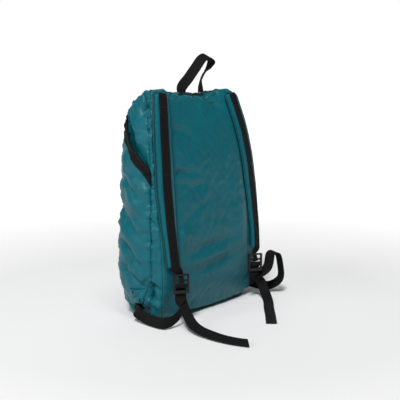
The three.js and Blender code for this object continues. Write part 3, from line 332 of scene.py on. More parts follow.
def curve(rows, key, column, x):
    """A smooth curve through one column of a table, by its key column."""
    keys = rows[key]
    values = rows[column]
    last = len(keys) - 1
    x = np.clip(x, keys[0], keys[-1])
    i = np.clip(np.searchsorted(keys, x, side="right") - 1, 0, last - 1)
    before = np.clip(np.arange(last + 1) - 1, 0, last)
    after = np.clip(np.arange(last + 1) + 1, 0, last)
    slope = (values[after] - values[before]) / (keys[after] - keys[before])
    span = keys[i + 1] - keys[i]
    t = (x - keys[i]) / span
    rise = t * t * (3 - 2 * t)
    start = t * (1 - t) ** 2
    end = t * t * (t - 1)
    return mix(values[i], values[i + 1], rise) + span * (slope[i] * start + slope[i + 1] * end)


def sizes():
    """The sizes that a user may change, in millimetres."""
    group = bpy.context.scene.backpack_sizes
    return {name: getattr(group, name) / MM for name in BackpackSizes.__annotations__}


def wrap(station):
    return (np.asarray(station, float) + 4) % 8 - 4


def edge(station, column):
    return curve(EDGES, "station", column, np.abs(wrap(station)))


def top_radius(station):
    return mix(TOP_BACK_RADIUS, TOP_FRONT_RADIUS, edge(station, "top"))


def base_radius(station):
    return BASE_RADIUS * edge(station, "base")


def wall_top(station):
    return edge(station, "peak") * sizes()["height"] - top_radius(station)


def outline(z, turned, at_top, turn_in):
    """Half outlines from the back centre to the front centre: points, running lengths and seams."""
    size = sizes()

    def level(column):
        return curve(LEVELS, "height", column, z / size["height"])[:, None]

    turned = turned[:, None]
    swell = 1 - turned
    half = level("width") * size["width"] / 2 - turned * turn_in[:, None]
    inset = np.where(at_top, TOP_BACK_RADIUS, BASE_RADIUS * EDGES["base"][0])[:, None]
    back = level("back") * size["depth"] + turned * inset
    front = level("front") * size["depth"] - turned * np.where(at_top, TOP_FRONT_RADIUS, BASE_RADIUS)[:, None]
    room = front - back
    back_radius = np.minimum(BACK_CORNER_RADIUS, room * 0.3)
    front_radius = np.minimum(FRONT_CORNER_RADIUS, room * 0.55)
    back_end = half - back_radius
    front_end = half - front_radius
    side_start = back + back_radius
    side_end = front - front_radius
    counts = (24, 8, 16, 10, 24)
    t = [np.linspace(0, 1, n, endpoint=False)[None] for n in counts]
    quarter = np.pi / 2
    x = [
        back_end * t[0],
        back_end + back_radius * np.sin(quarter * t[1]),
        half + level("side_swell") * SIDE_SWELL * swell * 4 * t[2] * (1 - t[2]),
        front_end + front_radius * np.cos(quarter * t[3]),
        front_end * (1 - t[4]),
        np.zeros_like(half),
    ]
    y = [
        back - level("back_swell") * BACK_SWELL * swell * (1 - t[0] ** 2),
        side_start - back_radius * np.cos(quarter * t[1]),
        mix(side_start, side_end, t[2]),
        side_end + front_radius * np.sin(quarter * t[3]),
        front + level("front_swell") * FRONT_SWELL * swell * (1 - (1 - t[4]) ** 2),
        front + level("front_swell") * FRONT_SWELL * swell,
    ]
    points = np.stack([np.concatenate(x, 1), np.concatenate(y, 1)], -1)
    steps = np.linalg.norm(np.diff(points, axis=1), axis=-1)
    lengths = np.concatenate([np.zeros_like(steps[:, :1]), np.cumsum(steps, 1)], 1)
    ends = np.cumsum(counts)
    side = lengths[:, ends[2]] - lengths[:, ends[1]]
    gusset = level("gusset")[:, 0] * GUSSET_WIDTH - back_radius[:, 0]
    seams = np.stack([
        np.zeros_like(side),
        (lengths[:, ends[0]] + lengths[:, ends[1]]) / 2,
        lengths[:, ends[1]] + np.clip(gusset, side * 0.02, side * 0.4),
        (lengths[:, ends[2]] + lengths[:, ends[3]]) / 2,
        lengths[:, -1],
    ], -1)
    return points, lengths, seams


def height_at(station, rise):
    """Height of the smooth surface, and how far its edge has turned in, 0 to 1."""
    top = np.clip(rise - 1, 0, 1) * np.pi / 2
    base = np.clip(-rise, 0, 1) * np.pi / 2
    low = base_radius(station)
    z = mix(low, wall_top(station), np.clip(rise, 0, 1))
    z = np.where(rise > 1, wall_top(station) + top_radius(station) * np.sin(top), z)
    z = np.where(rise < 0, low * (1 - np.sin(base)), z)
    return z, 1 - np.cos(np.where(rise > 1, top, base))


def outline_at(station, rise):
    station, rise = np.broadcast_arrays(np.asarray(station, float), np.asarray(rise, float))
    z, turned = height_at(station, rise)
    turn_in = np.where(rise > 1, top_radius(station), base_radius(station))
    return z, outline(z, turned, rise > 1, turn_in)


def smooth_point(station, rise):
    """Points of the smooth surface, for flat arrays of stations and rises."""
    station = wrap(station)
    z, (points, lengths, seams) = outline_at(station, rise)
    where = np.abs(station)
    seam = np.minimum(np.floor(where).astype(int), 3)
    row = np.arange(len(where))
    length = mix(seams[row, seam], seams[row, seam + 1], where - seam)
    i = np.clip((lengths < length[:, None]).sum(1) - 1, 0, lengths.shape[1] - 2)
    t = (length - lengths[row, i]) / (lengths[row, i + 1] - lengths[row, i])
    at = mix(points[row, i], points[row, i + 1], t[:, None])
    return np.stack([at[:, 0] * np.where(station < 0, -1, 1), at[:, 1], z], -1)


def rise_at(station, z):
    low = base_radius(station)
    top = wall_top(station)
    below = -np.arcsin(np.clip(1 - z / low, 0, 1)) / (np.pi / 2)
    above = 1 + np.arcsin(np.clip((z - top) / top_radius(station), 0, 1)) / (np.pi / 2)
    return np.where(z < low, below, np.where(z > top, above, (z - low) / (top - low)))


def hem_rise(station, shift=0.0):
    """Rise of the seam under the top panel, moved by a length towards the top."""
    arc = top_radius(station) * np.pi / 2
    moved = 1 + edge(station, "hem") + shift / arc
    wall = wall_top(station) - base_radius(station)
    return np.where(moved >= 1, moved, 1 + (moved - 1) * arc / wall)


HALF_STATIONS = np.concatenate(
    [np.linspace(k, k + 1, n, endpoint=False) for k, n in enumerate(SEAM_COLUMNS)] + [[4.0]])
HALF = len(HALF_STATIONS) - 1
RING = np.concatenate([HALF_STATIONS, -HALF_STATIONS[1:-1][::-1]])
RISES = np.concatenate([
    np.linspace(-1, 0, BASE_ROWS, endpoint=False),
    np.linspace(0, 1, WALL_ROWS, endpoint=False),
    np.linspace(1, 2, TURN_ROWS, endpoint=False),
    np.linspace(2, 3, CAP_ROWS + 1),
])


class Skin:
    """The bag's surface as a table of points over station and rise, smooth in between."""

    def __init__(self, points, finer=1):
        self.points = points
        self.finer = finer

    def place(self, station, rise):
        station = wrap(station)
        column = np.interp(np.abs(station), HALF_STATIONS, np.arange(HALF + 1))
        column = np.where(station < 0, 2 * HALF - column, column)
        row = np.interp(rise, RISES, np.arange(len(RISES)))
        return np.broadcast_arrays(column * self.finer, row * self.finer)

    def sample(self, column, row):
        rows, columns = self.points.shape[:2]
        i = np.floor(column).astype(int)
        j = np.clip(np.floor(row).astype(int), 0, rows - 2)

        def weights(t):
            return (
                -0.5 * t + t ** 2 - 0.5 * t ** 3,
                1 - 2.5 * t ** 2 + 1.5 * t ** 3,
                0.5 * t + 2 * t ** 2 - 1.5 * t ** 3,
                -0.5 * t ** 2 + 0.5 * t ** 3,
            )

        out = 0
        for a, up in enumerate(weights(row - j)):
            jj = np.clip(j + a - 1, 0, rows - 1)
            for b, across in enumerate(weights(column - i)):
                out = out + (up * across)[..., None] * self.points[jj, (i + b - 1) % columns]
        return out

    def point(self, station, rise):
        return self.sample(*self.place(station, rise))

    def normal(self, station, rise):
        return self.normal_at(*self.place(station, rise))

    def normal_at(self, column, row):
        last = len(self.points) - 1
        step = 0.6
        across = self.sample(column + step, row) - self.sample(column - step, row)
        above = self.sample(column, np.minimum(row + step, last))
        up = above - self.sample(column, np.maximum(row - step, 0))
        return unit(np.cross(across, up))

    def grid(self):
        rows, columns = self.points.shape[:2]
        return np.meshgrid(np.arange(columns, dtype=float), np.arange(rows, dtype=float))

    def refined(self, finer):
        rows, columns = self.points.shape[:2]
        column, row = np.meshgrid(
            np.arange(columns * finer) / finer, np.arange((rows - 1) * finer + 1) / finer)
        return Skin(self.sample(column, row), finer)


def spine_of(rim):
    """A spine down the middle of a ring of points, shared by facing back and front columns."""
    columns = len(rim)
    other = rim[(columns // 2 - np.arange(columns)) % columns]
    middle = (rim + other) / 2
    return middle * np.array([SPINE_SHARE, 1, 1])


def smooth_skin():
    """The surface before any fold: base, wall and top edge by outline, then the crowned top."""
    walled = RISES[RISES <= 2]
    station, rise = np.meshgrid(HALF_STATIONS, walled)
    half = smooth_point(station.ravel(), rise.ravel()).reshape(*station.shape, 3)
    mirrored = half[:, 1:-1][:, ::-1] * np.array([-1, 1, 1])
    rows = np.concatenate([half, mirrored], 1)
    rim = rows[-1]
    spine = spine_of(rim)
    cap = []
    for inward in np.linspace(0, 1, CAP_ROWS + 1)[1:]:
        crown = TOP_CROWN * (1 - (1 - inward) ** 2)
        cap.append(mix(rim, spine, inward) + np.array([0, 0, crown]))
    return Skin(np.concatenate([rows, np.array(cap)]))


def column_lengths(points):
    """Running lengths up each column from its lowest row."""
    steps = np.linalg.norm(np.diff(points, axis=0), axis=-1)
    return np.concatenate([np.zeros_like(steps[:1]), np.cumsum(steps, 0)])


def ring_lengths(points):
    """Signed running lengths round each row from the back centre, positive on the right."""
    steps = np.linalg.norm(np.roll(points, -1, 1) - points, axis=-1)
    around = np.concatenate([np.zeros_like(steps[:, :1]), np.cumsum(steps, 1)], 1)
    total = around[:, -1:]
    around = around[:, :-1]
    return np.where(around > total / 2, around - total, around), total[:, 0]


def simulated(skin):
    """Cloth simulation of the shell: seams shrink, panels grow, and pressure fills it."""
    cloth = bpy.context.scene.backpack_cloth
    rows, columns = skin.points.shape[:2]
    ids = np.arange(rows * columns).reshape(rows, columns)
    mirror = (columns // 2 - np.arange(columns)) % columns
    ids[-1] = np.minimum(ids[-1], ids[-1][mirror])
    kept, compact = np.unique(ids, return_inverse=True)
    compact = compact.reshape(rows, columns)
    random = np.random.default_rng(cloth.seed)
    start = skin.points.reshape(-1, 3)[kept]
    rough = start + random.normal(0, cloth.roughness / MM, start.shape)
    after = np.roll(compact, -1, 1)
    quads = np.stack([compact[:-1], after[:-1], after[1:], compact[1:]], -1).reshape(-1, 4)
    quads = quads[[len(set(q)) == 4 for q in quads.tolist()]]
    mesh = bpy.data.meshes.new("shell_cloth")
    mesh.from_pydata((rough * MM).tolist(), [], quads.tolist())
    obj = bpy.data.objects.new("shell_cloth", mesh)
    bpy.context.scene.collection.objects.link(obj)

    station = np.tile(np.abs(RING), (rows, 1)).ravel()[kept]
    rise = np.repeat(RISES, columns)[kept]
    seam = np.zeros(len(kept))
    for _, at, _, _ in UPRIGHT_SEAMS:
        seam = np.maximum(seam, (np.abs(station - at) < 0.02).astype(float))
    hem = np.abs(rise - hem_rise(station)) < 0.06
    low = np.abs(rise - BASE_SEAM) < 0.1
    seam = np.where(hem | low, 1.0, seam)
    pin = np.where(seam > 0, 0.5, 0.06)
    pin = np.where((station < 1) & (rise < 1.2), np.maximum(pin, 0.16), pin)
    pin = np.where(rise < -0.7, 1.0, pin)
    for name, weights in (("pin", pin), ("seam", seam)):
        group = obj.vertex_groups.new(name=name)
        for i, weight in enumerate(weights.tolist()):
            group.add([i], weight, "REPLACE")

    modifier = obj.modifiers.new("Cloth", "CLOTH")
    settings = modifier.settings
    settings.quality = 5
    settings.mass = 0.2
    settings.tension_stiffness = 20
    settings.compression_stiffness = 20
    settings.shear_stiffness = 8
    settings.bending_stiffness = cloth.bending
    settings.use_pressure = True
    settings.uniform_pressure_force = cloth.pressure
    settings.effector_weights.gravity = 0
    settings.vertex_group_mass = "pin"
    settings.pin_stiffness = 1.0
    settings.vertex_group_shrink = "seam"
    settings.shrink_min = -cloth.growth
    settings.shrink_max = cloth.seam_shrink
    modifier.collision_settings.use_collision = False
    modifier.collision_settings.use_self_collision = False
    modifier.point_cache.frame_start = 1
    modifier.point_cache.frame_end = cloth.frames
    scene = bpy.context.scene
    for number in range(1, cloth.frames + 1):
        scene.frame_set(number)
    evaluated = obj.evaluated_get(bpy.context.evaluated_depsgraph_get())
    found = np.empty(len(kept) * 3)
    evaluated.data.vertices.foreach_get("co", found)
    scene.frame_set(1)
    bpy.data.objects.remove(obj)
    bpy.data.meshes.remove(mesh)
    moved = (found.reshape(-1, 3) / MM - start)[compact]
    cap = cloth.cap / MM
    length = np.linalg.norm(moved, axis=-1, keepdims=True)
    moved = moved * np.tanh(length / cap) * cap / np.maximum(length, 1e-6)
    for axis in (0, 1):
        if axis == 1:
            moved = (np.roll(moved, 1, 1) + 2 * moved + np.roll(moved, -1, 1)) / 4
        else:
            padded = np.concatenate([moved[:1], moved, moved[-1:]])
            moved = (padded[:-2] + 2 * padded[1:-1] + padded[2:]) / 4
    return moved


def crease_profile(x, sharp):
    """Depth across a fold: a plain bell, or a sharper crease with low lips beside it."""
    crease = np.exp(-np.abs(x) ** 1.25) * 1.25 - 0.38 * bell(x / 2.4)
    return mix(bell(x), crease, sharp)


def fold_depth(skin, points, normals):
    """Depth of all the folds and small creases at each point of the table."""
    height = sizes()["height"]
    folds = []
    for _, station, share, turn, along, across, depth, sharp in FOLDS:
        rise = float(rise_at(np.array([station]), np.array([share * height]))[0])
        folds.append((station, rise, turn, along, across, depth, sharp))
    random = np.random.default_rng(bpy.context.scene.backpack_cloth.seed + 1)
    crinkle = bpy.context.scene.backpack_cloth.crinkle
    for _, first, last, low, high, count, along, across, depth, turn, spread in CRINKLES:
        for _ in range(count):
            size = random.uniform(0.55, 1.5)
            way = 1 if random.random() < 0.35 else -1
            folds.append((
                random.uniform(first, last), random.uniform(low, high), random.normal(turn, spread),
                along * size, across * random.uniform(0.7, 1.4),
                way * depth * crinkle * random.uniform(0.5, 1.3), 0.75,
            ))
    station = np.array([fold[0] for fold in folds])
    rise = np.array([fold[1] for fold in folds])
    centres = skin.point(station, rise)
    outs = skin.normal(station, rise)
    levels = unit(np.cross(np.array([0.0, 0.0, 1.0]), outs) + np.array([1e-4, 0, 0]))
    ups = np.cross(outs, levels)
    depth_map = np.zeros(points.shape[:2])
    flat = points.reshape(-1, 3)
    facing_all = normals.reshape(-1, 3)
    total = depth_map.ravel()
    for (_, _, turn, along, across, depth, sharp), centre, out, level, up in zip(
            folds, centres, outs, levels, ups):
        angle = math.radians(turn)
        away = flat - centre
        near = np.flatnonzero(np.einsum("ij,ij->i", away, away) < (2.6 * max(along, across * 2)) ** 2)
        away = away[near]
        lengthwise = level * math.cos(angle) + up * math.sin(angle)
        crosswise = up * math.cos(angle) - level * math.sin(angle)
        bend = 0.12 * away @ lengthwise * (away @ lengthwise) / along
        value = depth * bell(away @ lengthwise / along)
        value *= crease_profile((away @ crosswise + bend * (1 if sharp > 0.7 else 0)) / across, sharp)
        total[near] += value * np.clip(facing_all[near] @ out, 0, 1)
    return total.reshape(points.shape[:2])


def ripple(length, pitch, seed):
    """Smooth random heights along a seam, about one rise or fall each pitch."""
    random = np.random.default_rng(seed)
    nodes = random.uniform(-1, 1, 400)
    x = np.clip(length / pitch, 0, 396)
    i = np.floor(x).astype(int)
    t = x - i
    t = t * t * (3 - 2 * t)
    return mix(nodes[i], nodes[i + 1], t)


def pucker_depth(points):
    """Height of the puckers that run out from the seams."""
    along = column_lengths(points)
    around, total = ring_lengths(points)
    amount = bpy.context.scene.backpack_cloth.pucker
    rows, columns = points.shape[:2]
    signed = wrap(np.interp(np.arange(columns), np.arange(len(RING) + 1) * FINER, np.append(RING, RING[0])))
    height = np.zeros((rows, columns))
    z = points[..., 2]
    rise = np.interp(np.arange(rows), np.arange(len(RISES)) * FINER, RISES)[:, None]
    upright = ease(rise, -0.9, -0.3) * (1 - ease(rise, 1.5, 1.9))
    gather = 0.45 + sum(bell((z - at) / reach) for _, at, reach in GATHERS)
    for side in (-1, 1):
        for k, (_, station, depth, reach) in enumerate(UPRIGHT_SEAMS):
            seam_column = int(round(np.interp(station, HALF_STATIONS, np.arange(HALF + 1)))) * FINER
            if side < 0:
                seam_column = columns - seam_column
            away = np.abs(around - around[:, seam_column:seam_column + 1])
            away = np.minimum(away, total[:, None] - away)
            run = along[:, seam_column:seam_column + 1] + 0 * along
            wave = ripple(run, 9.5, 31 + 7 * k + side) + 0.6 * ripple(run, 3.7, 57 + 7 * k + side)
            strength = gather if station == 2.0 else 1.0
            height += depth * wave * np.exp(-away / reach) * strength * upright
    hem_rows = hem_rise(RING)
    hem_at = np.array([np.interp(hem_rows[i], RISES, along[::FINER, i * FINER]) for i in range(len(RING))])
    hem_at = np.interp(np.arange(columns), np.arange(len(RING)) * FINER, hem_at)
    base_row = int(round(np.interp(BASE_SEAM, RISES, np.arange(len(RISES))))) * FINER
    shift = around - around.min()
    base_at = along[base_row:base_row + 1]
    for where, depth, reach, seed in (
            (hem_at[None], HEM_PUCKER, HEM_REACH, 91),
            (base_at, BASE_PUCKER, BASE_REACH, 97)):
        wave = ripple(shift, 8.0, seed) + 0.6 * ripple(shift, 4.4, seed + 1)
        height += depth * wave * np.exp(-np.abs(along - where) / reach)
    fade = ease(np.abs(signed), 0, 1) * 0.55 + 0.45
    return height * amount * fade[None] * ease(rise, -1.0, -0.75) * (1 - ease(rise, 2.2, 2.8))


def strap_mask(points):
    """0 under the shoulder straps and 1 away from them."""
    around, _ = ring_lengths(points)
    height = sizes()["height"]
    z = points[..., 2]
    away = np.full(z.shape, 99.0)
    for side, column in ((-1, "left"), (1, "right")):
        centre = side * curve(STRAP_LINE, "height", column, z / height) * sizes()["width"] / 2
        away = np.minimum(away, np.abs(around - centre))
    clear = ease(away, 24, 33)
    rise = np.interp(np.arange(len(points)), np.arange(len(RISES)) * FINER, RISES)[:, None]
    root = 1 + strap_turn() * STRAP_ROOT_SHARE
    return np.maximum(np.maximum(clear, 1 - ease(z, 55, 85)), ease(rise, root - 0.02, root + 0.12))


SKINS = {}


def skins():
    """The smooth surface and the folded one, worked out once."""
    if SKINS:
        return SKINS["smooth"], SKINS["folded"]
    smooth = smooth_skin()
    moved = simulated(smooth)
    swollen = Skin(smooth.points + moved).refined(FINER)
    plain = smooth.refined(FINER)
    column, row = plain.grid()
    normals = plain.normal_at(column, row)
    depth = fold_depth(smooth, plain.points, normals) + pucker_depth(plain.points)
    change = swollen.points - plain.points + normals * depth[..., None]
    outward = np.einsum("ijk,ijk->ij", change, normals)
    held = np.maximum(outward, 0) * (1 - strap_mask(plain.points))
    change -= normals * held[..., None]
    rise = np.interp(np.arange(len(change)), np.arange(len(RISES)) * FINER, RISES)
    change *= ease(rise, -1.0, -0.7)[:, None, None]
    folded = plain.points + change
    folded[..., 2] = np.maximum(folded[..., 2], 0)
    columns = folded.shape[1]
    facing_columns = (columns // 2 - np.arange(columns)) % columns
    folded[-1] = (folded[-1] + folded[-1][facing_columns]) / 2
    SKINS["smooth"] = smooth
    SKINS["folded"] = Skin(folded, FINER)
    return SKINS["smooth"], SKINS["folded"]


# Meshes


def make_piece(name, points, faces, material, nodes=(), uv=None, trim=None):
    """A mesh object in metres that rides on the bag's body and stands for CAD nodes."""
    mesh = bpy.data.meshes.new(name)
    mesh.from_pydata((points * MM).tolist(), [], faces.tolist() if hasattr(faces, "tolist") else faces)
    loops = np.empty(len(mesh.loops), int)
    mesh.loops.foreach_get("vertex_index", loops)
    if uv is not None:
        layer = mesh.uv_layers.new(name="UVMap")
        layer.data.foreach_set("uv", (uv[loops] * MM).ravel())
    # Point attribute that darkens the cloth for the straps' dark piping line and for shade painted in the
    # piping's groove and along the edges
    if trim is not None:
        attribute = mesh.attributes.new("trim", "FLOAT", "POINT")
        attribute.data.foreach_set("value", trim)
    mesh.validate()
    mesh.shade_smooth()
    obj = bpy.data.objects.new(name, mesh)
    bpy.context.scene.collection.objects.link(obj)
    obj.data.materials.append(material)
    settle(obj, nodes)
    return obj


def settle(obj, nodes=()):
    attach(obj, "root")
    if nodes:
        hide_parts(*nodes)


def signed_volume(points, faces):
    a = points[faces[:, 0]]
    volume = 0
    for k in (1, 2):
        volume += np.einsum("ij,ij->i", a, np.cross(points[faces[:, k]], points[faces[:, k + 1]])).sum()
    return volume


def slab(outer, inner, ring=False, spine=False):
    """Vertices and faces of a closed sheet between two grids of points."""
    rows, columns = outer.shape[:2]
    ids = np.arange(rows * columns).reshape(rows, columns)
    if spine:
        mirror = (columns // 2 - np.arange(columns)) % columns
        ids[-1] = np.minimum(ids[-1], ids[-1][mirror])
    under = ids + rows * columns

    def quads(grid):
        here = grid if ring else grid[:, :-1]
        after = np.roll(grid, -1, 1) if ring else grid[:, 1:]
        return np.stack([here[:-1], after[:-1], after[1:], here[1:]], -1).reshape(-1, 4)

    def rim(top, bottom, turn):
        if ring and turn is not None:
            top = np.append(top, top[0])
            bottom = np.append(bottom, bottom[0])
        return np.stack([top[1:], top[:-1], bottom[:-1], bottom[1:]], -1)

    faces = [quads(ids), quads(under)[:, ::-1], rim(ids[0], under[0], ring)]
    if not spine:
        faces.append(rim(ids[-1], under[-1], ring)[:, ::-1])
    if not ring:
        faces.append(rim(ids[:, 0], under[:, 0], None)[:, ::-1])
        faces.append(rim(ids[:, -1], under[:, -1], None))
    faces = np.concatenate(faces)
    points = np.concatenate([outer.reshape(-1, 3), inner.reshape(-1, 3)])
    used, faces = np.unique(faces, return_inverse=True)
    faces = faces.reshape(-1, 4)
    points = points[used]
    if signed_volume(points, faces) < 0:
        faces = faces[:, ::-1]
    return points, faces, used


def sheet_uv(points):
    """Running lengths across and along a grid of points."""
    across = np.linalg.norm(np.diff(points, axis=1), axis=-1)
    across = np.concatenate([np.zeros_like(across[:, :1]), np.cumsum(across, 1)], 1)
    return np.stack([across, column_lengths(points)], -1)


def edge_distance(uv, ring):
    """Distance of each point of a grid to the nearest edge of it."""
    along = np.minimum(uv[..., 1], uv[-1:, :, 1] - uv[..., 1])
    if ring:
        return uv[..., 1]
    return np.minimum(along, np.minimum(uv[..., 0], uv[:, -1:, 0] - uv[..., 0]))


def cloth_sheet(name, station, rise, nodes, lift=0.0, thickness=CLOTH, material=None,
                ring=False, tuck=SEAM_TUCK, level_top=False, trim=None):
    """A sheet of cloth laid on the folded surface, with its edges tucked into the seams."""
    _, skin = skins()
    station, rise = np.broadcast_arrays(station, rise)
    points = skin.point(station, rise)
    normals = skin.normal(station, rise)
    if level_top:
        blend = ease(rise, 2.0, 3.0)[..., None]
        normals = unit(mix(normals, np.array([0.0, 0.0, 1.0]), blend))
    uv = sheet_uv(points)
    sunk = tuck * bell(edge_distance(uv, ring) / SEAM_REACH)
    outer = points + normals * (lift - sunk)[..., None]
    inner = outer - normals * thickness
    vertices, faces, used = slab(outer, inner, ring, level_top)
    both = np.concatenate([uv.reshape(-1, 2)] * 2)[used]
    # Darkening for a piping line and painted shade, carried to the piece's points
    marks = None if trim is None else np.concatenate([trim.ravel()] * 2)[used]
    return make_piece(name, vertices, faces, material or nylon_material(), nodes, both, marks)


def wall_grid(first, last, columns, shift=None):
    """Stations and rises of a wall panel's grid, from the base seam to the hem."""
    station = np.linspace(first, last, columns)
    hem = hem_rise(station, 0.0 if shift is None else -shift(station))
    t = np.concatenate([
        np.linspace(0, 1, 6, endpoint=False) - 1,
        np.linspace(0, 1, WALL_ROWS * 2, endpoint=False),
        np.linspace(0, 1, 13) + 1,
    ])[:, None]
    low = BASE_SEAM * np.clip(-t, 0, 1)
    rise = np.where(t < 0, low, np.where(t < 1, t, 1 + (t - 1) * (hem[None] - 1)))
    return np.broadcast_to(station, rise.shape), rise


def zip_widening(station):
    return np.clip((np.abs(wrap(station)) - 3) / ZIP_RAMP, 0, 1)


def zip_gape(station):
    """Half of the width between the zip's tapes."""
    size = sizes()
    turn = np.asarray(station, float) % 8
    start = (turn - 3 - ZIP_RAMP) * (size["width"] / 2 - FRONT_CORNER_RADIUS / 2)
    inside = (start > 0) & (start < ZIP_MOUTH_LENGTH)
    return np.where(inside, np.sin(np.pi * start / ZIP_MOUTH_LENGTH) ** 2, 0) * ZIP_MOUTH_GAPE / 2 + 0.1


def zip_shift(station):
    return (zip_gape(station) + ZIP_TAPE_WIDTH - 1.5) * zip_widening(station)


def mouth_height(a):
    return mix(POCKET_LOW_MOUTH, POCKET_HIGH_MOUTH, np.clip(a, 0, 1) ** 0.9)


def build_panels():
    """The shell: back, front, gussets, sides, top and base."""
    station, rise = wall_grid(-1, 1, 141)
    cloth_sheet("back_panel_cloth", station, rise, ["back_panel"])
    station, rise = wall_grid(3, 5, 121, zip_shift)
    cloth_sheet("front_panel_cloth", station, rise, ["front_panel"])
    for side, label in ((-1, "left"), (1, "right")):
        station, rise = wall_grid(side, side * 2, 15)
        cloth_sheet(f"side_gusset_{label}_cloth", station, rise, [f"side_gusset_{label}"])
        station, rise = wall_grid(side * 2, side * 3, 49)
        a = np.abs(station) - 2
        z, _ = height_at(station, rise)
        binding = sizes()["binding_width"]
        below = np.clip((mouth_height(a) + binding - z) / binding, 0, 1)
        above = np.clip((z - POCKET_BOTTOM / 2) / POCKET_BOTTOM, 0, 1)
        drop = POCKET_DROP * np.minimum(below, above) * ease(a * (1 - a), 0, 0.09)
        cloth_sheet(f"side_panel_{label}_cloth", station, rise, [f"side_panel_{label}"], lift=-drop)
    fine = np.interp(np.arange(2 * len(RING)), np.arange(len(RING)) * 2, np.unwrap(RING, period=8))
    fine[-1] = 2 * fine[-2] - fine[-3]
    hem = hem_rise(fine, zip_shift(fine))
    t = np.linspace(0, 1, 9, endpoint=False)[:, None]
    cap = np.linspace(2, 3, 15)[:, None] + 0 * hem[None]
    rise = np.concatenate([mix(hem[None], 2, t), cap])
    cloth_sheet("top_panel_cloth", np.broadcast_to(fine, rise.shape), rise, ["top_panel"],
                ring=True, level_top=True)
    build_base()


def build_base():
    """The base: tucked under the wall's lower seam, flat on the floor."""
    _, skin = skins()
    t = np.linspace(BASE_SEAM, -1, 7)[:, None]
    station = np.broadcast_to(RING, (7, len(RING)))
    rows = skin.point(station, np.broadcast_to(t, station.shape)).copy()
    sunk = 1.2 * bell((t - BASE_SEAM) / 0.12)
    rows -= skin.normal(station, np.broadcast_to(t, station.shape)) * sunk[..., None]
    rows[-1, :, 2] = 0
    spine = spine_of(rows[-1])
    inward = np.linspace(0, 1, 8)[1:, None, None]
    outer = np.concatenate([rows, mix(rows[-1], spine, inward)])
    wall = unit(outer - np.array([0.0, 0.0, 30.0])) * np.array([1.0, 1.0, 0.0]) * CLOTH
    inner = outer - np.where(outer[..., 2:] > 0.5, wall, 0) + np.array([0.0, 0.0, CLOTH])
    vertices, faces, used = slab(outer, inner, True, True)
    uv = np.concatenate([outer[..., :2].reshape(-1, 2)] * 2)[used]
    make_piece("base_panel_cloth", vertices, faces, nylon_material("nylon_shade"),
               ["base_panel"], uv)


def pocket_lift(a, b):
    return 0.4 + POCKET_EASE * np.sin(np.pi * a) * b * b


def build_pockets():
    """Side pockets with slanting mouths, bound in webbing."""
    binding = sizes()["binding_width"]
    for side, label in ((-1, "left"), (1, "right")):
        a = np.linspace(0, 1, 47)[None]
        b = np.linspace(0, 1, 140)[:, None]
        z = mix(POCKET_BOTTOM, mouth_height(a), b)
        station = side * (2 + a) + 0 * z
        cloth_sheet(f"pocket_{label}_cloth", station, rise_at(station, z), [f"pocket_{label}"],
                    lift=pocket_lift(a, b) + 0 * z)
        b = np.linspace(0, 1, 15)[:, None]
        z = mouth_height(a) - binding * (1 - b) + 0.8 * b
        share = np.clip((z - POCKET_BOTTOM) / (mouth_height(a) - POCKET_BOTTOM), 0, 1)
        lip = np.sqrt(np.clip(1 - np.abs(2 * b - 1) ** 10, 0.05, 1))
        lift = pocket_lift(a, share) + 1.3 * lip
        cloth_sheet(f"pocket_binding_{label}_webbing", station[:15], rise_at(station[:15], z),
                    [f"pocket_binding_{label}"], lift=lift, thickness=1.6,
                    material=webbing_material(), tuck=0.5)


# Bands of webbing


def smooth_line(controls, per_step=1.6):
    """Points along a smooth line through rows of point, outward side and width, evenly spaced."""
    p = controls[:, :3]
    p = np.concatenate([2 * p[:1] - p[1:2], p, 2 * p[-1:] - p[-2:-1]])
    gaps = np.maximum(np.linalg.norm(np.diff(p, axis=0), axis=-1) ** 0.5, 1e-3)
    out = []
    for i in range(len(controls) - 1):
        d0, d1, d2 = gaps[i], gaps[i + 1], gaps[i + 2]
        p0, p1, p2, p3 = p[i], p[i + 1], p[i + 2], p[i + 3]
        t1 = ((p1 - p0) / d0 - (p2 - p0) / (d0 + d1) + (p2 - p1) / d1) * d1
        t2 = ((p2 - p1) / d1 - (p3 - p1) / (d1 + d2) + (p3 - p2) / d2) * d1
        count = max(2, int(np.linalg.norm(p2 - p1) / per_step) + 1)
        for t in np.linspace(0, 1, count, endpoint=False):
            point = (p1 + t1 * t + (3 * (p2 - p1) - 2 * t1 - t2) * t * t
                     + (2 * (p1 - p2) + t1 + t2) * t ** 3)
            out.append(np.concatenate([point, mix(controls[i, 3:], controls[i + 1, 3:], t)]))
    out.append(controls[-1])
    return np.array(out)


def band_frames(line):
    """Across, up and ahead vectors along a line of points with outward sides."""
    points = line[:, :3]
    ahead = unit(np.gradient(points, axis=0))
    across = unit(np.cross(ahead, line[:, 3:6]))
    for _ in range(2):
        across[1:-1] = unit(across[:-2] + 2 * across[1:-1] + across[2:])
    up = unit(np.cross(across, ahead))
    return across, up, ahead


